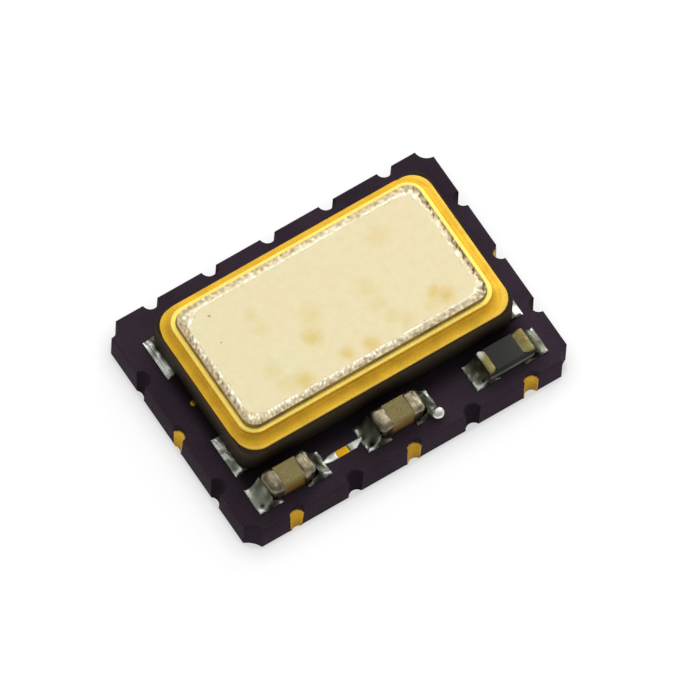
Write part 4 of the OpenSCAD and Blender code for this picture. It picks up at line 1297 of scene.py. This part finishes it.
def weld_flecks(path, package, pull):
    """The weld's flecks in their order along the path, as (point, long axis, half length, half width, tone). A fleck's
    tone paints a glint where it is above zero and shade where it is below, set apart for each side of the lid.
    """
    total = path[-1][2] * len(path) / (len(path) - 1)
    count = round(total / package.ripple_pitch)
    chance = random.Random(7)
    image_up = Vector((0.54, 0.84, 0))
    flecks = []
    for number in range(count):
        for bright in (True, False):
            r = [chance.random() for _ in range(6)]
            point, outward, _ = path[int((number + 0.5 * bright + 0.5 * r[0]) / count * len(path)) % len(path)]
            along = Vector((-outward.y, outward.x, 0))
            lies = outward.y > 0.7 or (outward.y < -0.7 and point.x > 0.6 * MM)
            side = abs(outward.x) > 0.7
            # Painted glints: a bright fleck's place, size and tone depend on the side of the lid.
            if bright and lies:
                inward = package.track_w * (0.86 + 0.14 * r[1])
                axis = along + outward * (0.6 * r[2] - 0.3)
                length, width, tone = 0.03 + 0.03 * r[3], 0.014 + 0.008 * r[4], 0.1 + 0.8 * r[5]
            elif bright:
                inward = package.track_w * (0.42 + 0.6 * r[1])
                axis = image_up + along * (1.2 * r[2] - 0.6)
                length, width, tone = 0.024 + 0.034 * r[3], 0.016 + 0.014 * r[4], 0.2 + 0.8 * r[5]
                if outward.x > 0.7:
                    inward = package.track_w * (0.55 + 0.55 * r[1])
                    tone = 0.5 + 0.5 * r[5] if number % 3 == 0 else 0.1 * r[5]
                    length, width = length * 1.2, width * 1.5
                elif outward.x < -0.3:
                    tone *= 1.2
                elif outward.y < -0.7:
                    inward = package.track_w * (0.55 + 0.42 * r[1])
                    length, width, tone = 0.03 + 0.018 * r[3], 0.015 + 0.008 * r[4], 0.55 + 0.55 * r[5]
            else:
                inward = package.track_w * (0.2 + (0.6 if side else 0.3) * r[1])
                axis = image_up + along * (1.2 * r[2] - 0.6)
                length, width = 0.035 + 0.05 * r[3], 0.010 + 0.008 * r[4]
                # Painted shade: a dark fleck's depth of tone depends on the side of the lid.
                tone = -(0.2 + 0.5 * r[5]) * (1.9 if outward.x > 0.7 else 1.4 if side else 0.25 if outward.y > 0.7 else 0.5 if lies else 0.9)
            place = point - outward * inward + pull(point) * (inward / package.track_w)
            flecks.append((place, axis.normalized(), length * MM, width * MM, tone))
    return flecks


def build_lid(package):
    """The lid: a flat plate whose border is the lumpy, sloping seam weld track."""
    low, high = node_box("lid")
    centre = ((low.x + high.x) / 2, (low.y + high.y) / 2)
    count = 1800
    track, ripple, foot = package.track_w, package.ripple_h, package.foot_w
    length, width, corner_r = high.x - low.x, high.y - low.y, package.lid_corner_r
    path = perimeter(length, width, corner_r, count, centre)
    full = high.z - low.z
    mesh = bmesh.new()
    relief_layer = mesh.verts.layers.float.new("relief")

    def pull(point):
        """The way in which a corner draws this point of the edge inward, for the whole track."""
        sign_x = 1 if point.x > centre[0] else -1
        sign_y = 1 if point.y > centre[1] else -1
        cut = corner_r * (1 - math.sqrt(0.5))
        tip = Vector((centre[0] + sign_x * (length / 2 - cut), centre[1] + sign_y * (width / 2 - cut), 0))
        near = max(0.0, 1 - (point - tip).length / (0.48 * MM))
        return Vector((-sign_x, -sign_y, 0)) * (math.sqrt(0.5) * CORNER_PULLS[sign_x, sign_y] * MM * near * near * (3 - 2 * near))

    flecks = weld_flecks(path, package, pull)

    def surface(share, inward, point, outward):
        """Height and tone of the weld: pale flecks with painted glints at its inner edge, darker ones with painted
        shade outside them, and a tone painted lighter or darker by the side of the lid.
        """
        across = (inward - foot) / (track - foot)
        first = 2 * int(share * len(flecks) / 2)
        bright = dark = 0.0
        for index in range(first - 6, first + 8):
            spot, axis, half_l, half_w, tone = flecks[index % len(flecks)]
            away = point - spot
            along = away.dot(axis)
            reach = (along / half_l) ** 2 + (away.length_squared - along * along) / half_w ** 2
            if reach < 5:
                near = abs(tone) * math.exp(-reach)
                bright, dark = (max(bright, near), dark) if tone > 0 else (bright, max(dark, near))
        fine = noise.noise(point * 13000)
        right = max(0.0, outward.x)
        border = 0.95 - 0.12 * right + (0.22 + 0.3 * right) * noise.noise(point * (4200 + 2600 * right))
        inside = max(0.0, min(1.0, (border - across) / 0.35))
        slope = max(0.0, min(1.0, across / border))
        fall = 0.16 - 0.13 * right
        height = package.lid_edge_t + (full - package.lid_edge_t) * (1 - fall + fall * slope)
        height += ripple * (0.8 * bright - 0.5 * dark - 0.3 + 0.6 * fine) * inside
        # Painted light: the track's tone is painted lighter along the front and back and darker along the right side.
        outer = 0.07 * max(0.0, -outward.y) + 0.07 * max(0.0, outward.y) - 0.1 * right
        relief = 0.3 + outer + 0.16 * slope + 0.3 * fine - 0.38 * dark
        # Painted glints: bright flecks near the inner edge lift the tone towards white.
        relief = 0.55 + (relief - 0.55) * inside + 0.5 * bright * max(0.0, min(1.0, (1.1 - across) / 0.12))
        return min(height, full), max(0.0, min(1.0, relief)), inside > 0 or bright > 0.1

    loops = []
    for inward, height in ((0.004 * MM, 0.0), (0.0, 0.004 * MM), (foot * 0.4, 0.007 * MM), (foot * 0.75, 0.012 * MM)):
        loops.append(add_loop(mesh, [point - outward * inward + Vector((0, 0, low.z + height)) for point, outward, _ in path]))
    rough = set()
    rows = [foot + (1.12 * track - foot) * i / 24 for i in range(25)]
    pulls = [pull(point) for point, _, _ in path]
    for inward in rows:
        loop = []
        for index, ((point, outward, _), way) in enumerate(zip(path, pulls)):
            place = point - outward * inward + way * (inward / track)
            height, relief, welded = surface(index / count, inward, place, outward)
            vertex = mesh.verts.new((place.x, place.y, low.z + height))
            vertex[relief_layer] = relief
            loop.append(vertex)
            if welded:
                rough.add(vertex)
        loops.append(loop)
    level = []
    for (point, outward, _), way in zip(path, pulls):
        place = point - outward * (1.16 * track) + way * 1.16
        level.append(mesh.verts.new((place.x, place.y, high.z)))
    loops.append(level)
    bridge(mesh, loops)
    foot_faces = 4 * count
    for index, face in enumerate(mesh.faces):
        face.material_index = 2 if index < foot_faces else int(any(vertex in rough for vertex in face.verts))
    mesh.faces.new(loops[0])
    mesh.faces.new(loops[-1])
    triangulate(mesh)
    # Painted shade: the foot faces take a dark metal where the lid meets the ring.
    foot_metal = metal_material("foot_shade", tuple(package.foot_shade), scaled(tuple(package.foot_shade), 0.6), 0.6)
    piece("nickel_lid", mesh, [lid_material(package), track_material(package), foot_metal], "lid_metal", "lid", smooth_below=60)


# Inner pieces

def paint_inner_pieces():
    paint_node("oscillator_die", ceramic_material("silicon", paint(90, 90, 98), grain=8, contrast=0.05, roughness=0.25, specular=0.6))
    paint_node("potting_resin", ceramic_material("resin", paint(34, 34, 36), grain=6, contrast=0.15, roughness=0.4, specular=0.5))
    silver = metal_material("electrode_silver", paint(232, 228, 218), paint(206, 202, 194), 0.15, 0.04)
    paint_node("electrode_top", silver)
    paint_node("electrode_bottom", silver)
    glue = metal_material("silver_glue", paint(200, 200, 194), paint(150, 150, 146), 0.55, 0.1, grain=30.0)
    paint_node("glue_dot_front", glue)
    paint_node("glue_dot_back", glue)
    material, tree, shader = new_material("quartz")
    shader.inputs["Base Color"].default_value = (*paint(232, 240, 244), 1)
    shader.inputs["Transmission Weight"].default_value = 0.9
    shader.inputs["IOR"].default_value = 1.54
    place = texture_place(tree)
    tree.links.new(ramp(tree, add_noise(tree, place, 6, 3), [(0.3, 0.04), (0.7, 0.12)]), shader.inputs["Roughness"])
    paint_node("quartz_blank", material)


# Stage

def white_to_eye(tree):
    """1 for camera, glossy and transmission rays, and 0 for others."""
    rays = tree.nodes.new("ShaderNodeLightPath")
    total = rays.outputs["Is Camera Ray"]
    for name in ("Is Glossy Ray", "Is Transmission Ray"):
        add = tree.nodes.new("ShaderNodeMath")
        add.operation = "MAXIMUM"
        tree.links.new(total, add.inputs[0])
        tree.links.new(rays.outputs[name], add.inputs[1])
        total = add.outputs[0]
    return total


def painted_contact_shadow(tree):
    """A grey painted close to the part that falls off outward: a painted contact shadow on the floor."""
    low, high = node_box("base_substrate")
    corner_r = 0.4 * MM
    half = Vector(((high.x - low.x) / 2 - corner_r, (high.y - low.y) / 2 - corner_r, 0))
    value = tree.nodes.new("ShaderNodeTexCoord").outputs["Object"]
    for operation, operand in (("ABSOLUTE", None), ("SUBTRACT", half), ("MAXIMUM", (0, 0, 0)), ("LENGTH", None)):
        step = tree.nodes.new("ShaderNodeVectorMath")
        step.operation = operation
        tree.links.new(value, step.inputs[0])
        if operand is not None:
            step.inputs[1].default_value = operand
        value = step.outputs["Value" if operation == "LENGTH" else "Vector"]
    spread = tree.nodes.new("ShaderNodeMapRange")
    spread.inputs["From Min"].default_value = corner_r
    spread.inputs["From Max"].default_value = corner_r + 0.42 * MM
    tree.links.new(value, spread.inputs["Value"])
    return ramp(tree, spread.outputs["Result"], [(0.0, 0.72), (0.1, 0.82), (0.2, 0.89), (0.5, 0.95), (0.9, 1.0)])


def build_floor():
    """A white floor that keeps the part's shadow and adds a painted contact shadow close to the part."""
    mesh = bmesh.new()
    bmesh.ops.create_grid(mesh, x_segments=1, y_segments=1, size=1.0)
    data = bpy.data.meshes.new("floor")
    mesh.to_mesh(data)
    mesh.free()
    floor = bpy.data.objects.new("floor", data)
    floor.location.z = -0.003 * MM
    bpy.context.scene.collection.objects.link(floor)
    material, tree, shader = new_material("floor_white")
    seen, near = white_to_eye(tree), painted_contact_shadow(tree)
    tree.links.new(blend_colours(tree, seen, (0.95, 0.95, 0.95), blend_colours(tree, 1.0, near, (0.25, 0.25, 0.25), "MULTIPLY")),
                   shader.inputs["Base Color"])
    shader.inputs["Roughness"].default_value = 0.9
    shader.inputs["Specular IOR Level"].default_value = 0.0
    white = tree.nodes.new("ShaderNodeEmission")
    # Painted contact shadow: the white that the camera sees is greyed close to the part.
    tree.links.new(near, white.inputs["Color"])
    tree.links.new(multiply(tree, seen, 0.83), white.inputs["Strength"])
    both = tree.nodes.new("ShaderNodeAddShader")
    tree.links.new(shader.outputs[0], both.inputs[0])
    tree.links.new(white.outputs[0], both.inputs[1])
    tree.links.new(both.outputs[0], tree.nodes["Material Output"].inputs["Surface"])
    data.materials.append(material)


def add_lamp(name, place, energy, width, tint=(1, 1, 1)):
    data = bpy.data.lights.new(name, "AREA")
    data.energy = energy
    data.size = width
    data.color = tint
    lamp = bpy.data.objects.new(name, data)
    lamp.location = place
    lamp.rotation_euler = (-Vector(place)).to_track_quat("-Z", "Y").to_euler()
    bpy.context.scene.collection.objects.link(lamp)
    return lamp


def build_world():
    """A light tent: brightest high up behind the part on its right, dim towards the front left."""
    world = bpy.data.worlds.new("tent")
    world.use_nodes = True
    bpy.context.scene.world = world
    tree = world.node_tree
    coordinates = tree.nodes.new("ShaderNodeTexCoord")
    towards = tree.nodes.new("ShaderNodeVectorMath")
    towards.operation = "DOT_PRODUCT"
    towards.inputs[1].default_value = BRIGHT_SIDE
    tree.links.new(coordinates.outputs["Generated"], towards.inputs[0])
    light = ramp(tree, towards.outputs["Value"], [(0.0, 0.40), (0.45, 0.70), (0.8, 1.05), (1.0, 1.4)])
    background = tree.nodes["Background"]
    tree.links.new(light, background.inputs["Color"])
    background.inputs["Strength"].default_value = 1.0
    tree.links.new(background.outputs[0], tree.nodes["World Output"].inputs["Surface"])


def build_camera(stage):
    azimuth, elevation, roll = stage.azimuth, stage.elevation, stage.roll
    backward = Vector((
        math.sin(azimuth) * math.cos(elevation), -math.cos(azimuth) * math.cos(elevation), math.sin(elevation)))
    right = Vector((0, 0, 1)).cross(backward).normalized()
    up = backward.cross(right)
    turned_right = right * math.cos(roll) + up * math.sin(roll)
    turned_up = up * math.cos(roll) - right * math.sin(roll)
    data = bpy.data.cameras.new("camera")
    data.lens = stage.lens
    data.sensor_width = 36
    data.clip_start = 0.01
    data.clip_end = 10
    camera = bpy.data.objects.new("camera", data)
    place = backward * stage.distance + turned_right * stage.aim_right + turned_up * stage.aim_up
    camera.matrix_world = Matrix((
        (turned_right.x, turned_up.x, backward.x, place.x),
        (turned_right.y, turned_up.y, backward.y, place.y),
        (turned_right.z, turned_up.z, backward.z, place.z),
        (0, 0, 0, 1)))
    bpy.context.scene.collection.objects.link(camera)
    bpy.context.scene.camera = camera


# Operators

class OSCILLATOR_OT_base(bpy.types.Operator):
    """Build the castellated ceramic base"""
    bl_idname = "oscillator.base"
    bl_label = "Ceramic base"

    def execute(self, context):
        build_base(context.scene.oscillator_base)
        return {"FINISHED"}


class OSCILLATOR_OT_terminals(bpy.types.Operator):
    """Build the gold terminals and the via"""
    bl_idname = "oscillator.terminals"
    bl_label = "Terminals and via"

    def execute(self, context):
        build_terminals(context.scene.oscillator_base)
        return {"FINISHED"}


class OSCILLATOR_OT_lands(bpy.types.Operator):
    """Finish the printed lands and the trace"""
    bl_idname = "oscillator.lands"
    bl_label = "Lands and trace"

    def execute(self, context):
        paint_lands(context.scene.oscillator_base, context.scene.oscillator_chips)
        return {"FINISHED"}


class OSCILLATOR_OT_capacitors(bpy.types.Operator):
    """Build the two chip capacitors"""
    bl_idname = "oscillator.capacitors"
    bl_label = "Capacitors"

    def execute(self, context):
        build_capacitors(context.scene.oscillator_chips)
        return {"FINISHED"}


class OSCILLATOR_OT_resistor(bpy.types.Operator):
    """Build the chip resistor"""
    bl_idname = "oscillator.resistor"
    bl_label = "Resistor"

    def execute(self, context):
        build_resistor(context.scene.oscillator_chips)
        return {"FINISHED"}


class OSCILLATOR_OT_chip_joints(bpy.types.Operator):
    """Build the chips' solder joints"""
    bl_idname = "oscillator.chip_joints"
    bl_label = "Chip solder joints"

    def execute(self, context):
        build_chip_joints(context.scene.oscillator_chips)
        return {"FINISHED"}


class OSCILLATOR_OT_package(bpy.types.Operator):
    """Build the crystal package's ceramic box and its solder joints"""
    bl_idname = "oscillator.package"
    bl_label = "Package and joints"

    def execute(self, context):
        build_package_body(context.scene.oscillator_package)
        build_package_joints(context.scene.oscillator_package, context.scene.oscillator_chips)
        return {"FINISHED"}


class OSCILLATOR_OT_seal(bpy.types.Operator):
    """Build the seal metal, the braze and the ring"""
    bl_idname = "oscillator.seal"
    bl_label = "Seal"

    def execute(self, context):
        build_seal(context.scene.oscillator_package)
        return {"FINISHED"}


class OSCILLATOR_OT_lid(bpy.types.Operator):
    """Build the lid with its seam weld track"""
    bl_idname = "oscillator.lid"
    bl_label = "Lid"

    def execute(self, context):
        build_lid(context.scene.oscillator_package)
        return {"FINISHED"}


class OSCILLATOR_OT_inner(bpy.types.Operator):
    """Finish the pieces inside the base and the package"""
    bl_idname = "oscillator.inner"
    bl_label = "Inner pieces"

    def execute(self, context):
        paint_inner_pieces()
        return {"FINISHED"}


class OSCILLATOR_OT_stage(bpy.types.Operator):
    """Set up the floor, the light and the camera"""
    bl_idname = "oscillator.stage"
    bl_label = "Stage"

    def execute(self, context):
        stage = context.scene.oscillator_stage
        build_floor()
        build_world()
        add_lamp("overhead", (0.22, 0.14, 0.23), stage.lamp, 0.11)
        build_camera(stage)
        context.scene.view_settings.view_transform = "Standard"
        return {"FINISHED"}


OPERATORS = (
    OSCILLATOR_OT_stage, OSCILLATOR_OT_base, OSCILLATOR_OT_terminals, OSCILLATOR_OT_lands,
    OSCILLATOR_OT_capacitors, OSCILLATOR_OT_resistor, OSCILLATOR_OT_chip_joints,
    OSCILLATOR_OT_package, OSCILLATOR_OT_seal, OSCILLATOR_OT_lid, OSCILLATOR_OT_inner,
)


class OSCILLATOR_PT_panel(bpy.types.Panel):
    """Lists the steps that build the oscillator"""
    bl_idname = "OSCILLATOR_PT_panel"
    bl_label = "Oscillator"
    bl_space_type = "VIEW_3D"
    bl_region_type = "UI"
    bl_category = "Oscillator"

    def draw(self, context):
        for operator in OPERATORS:
            self.layout.operator(operator.bl_idname)
        for name in SETTINGS:
            box = self.layout.box()
            group = getattr(context.scene, name)
            for prop in group.bl_rna.properties:
                if prop.identifier not in ("rna_type", "name"):
                    box.prop(group, prop.identifier)


SETTINGS = {
    "oscillator_base": BaseSettings,
    "oscillator_chips": ChipSettings,
    "oscillator_package": PackageSettings,
    "oscillator_stage": StageSettings,
}
CLASSES = (*SETTINGS.values(), *OPERATORS, OSCILLATOR_PT_panel)


def register():
    for cls in CLASSES:
        bpy.utils.register_class(cls)
    for name, group in SETTINGS.items():
        setattr(bpy.types.Scene, name, PointerProperty(type=group))


def unregister():
    for name in SETTINGS:
        delattr(bpy.types.Scene, name)
    for cls in reversed(CLASSES):
        bpy.utils.unregister_class(cls)


def main():
    """Build everything in order."""
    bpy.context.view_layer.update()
    register()
    for operator in OPERATORS:
        group, name = operator.bl_idname.split(".")
        getattr(getattr(bpy.ops, group), name)()


if __name__ == "__main__":
    main()
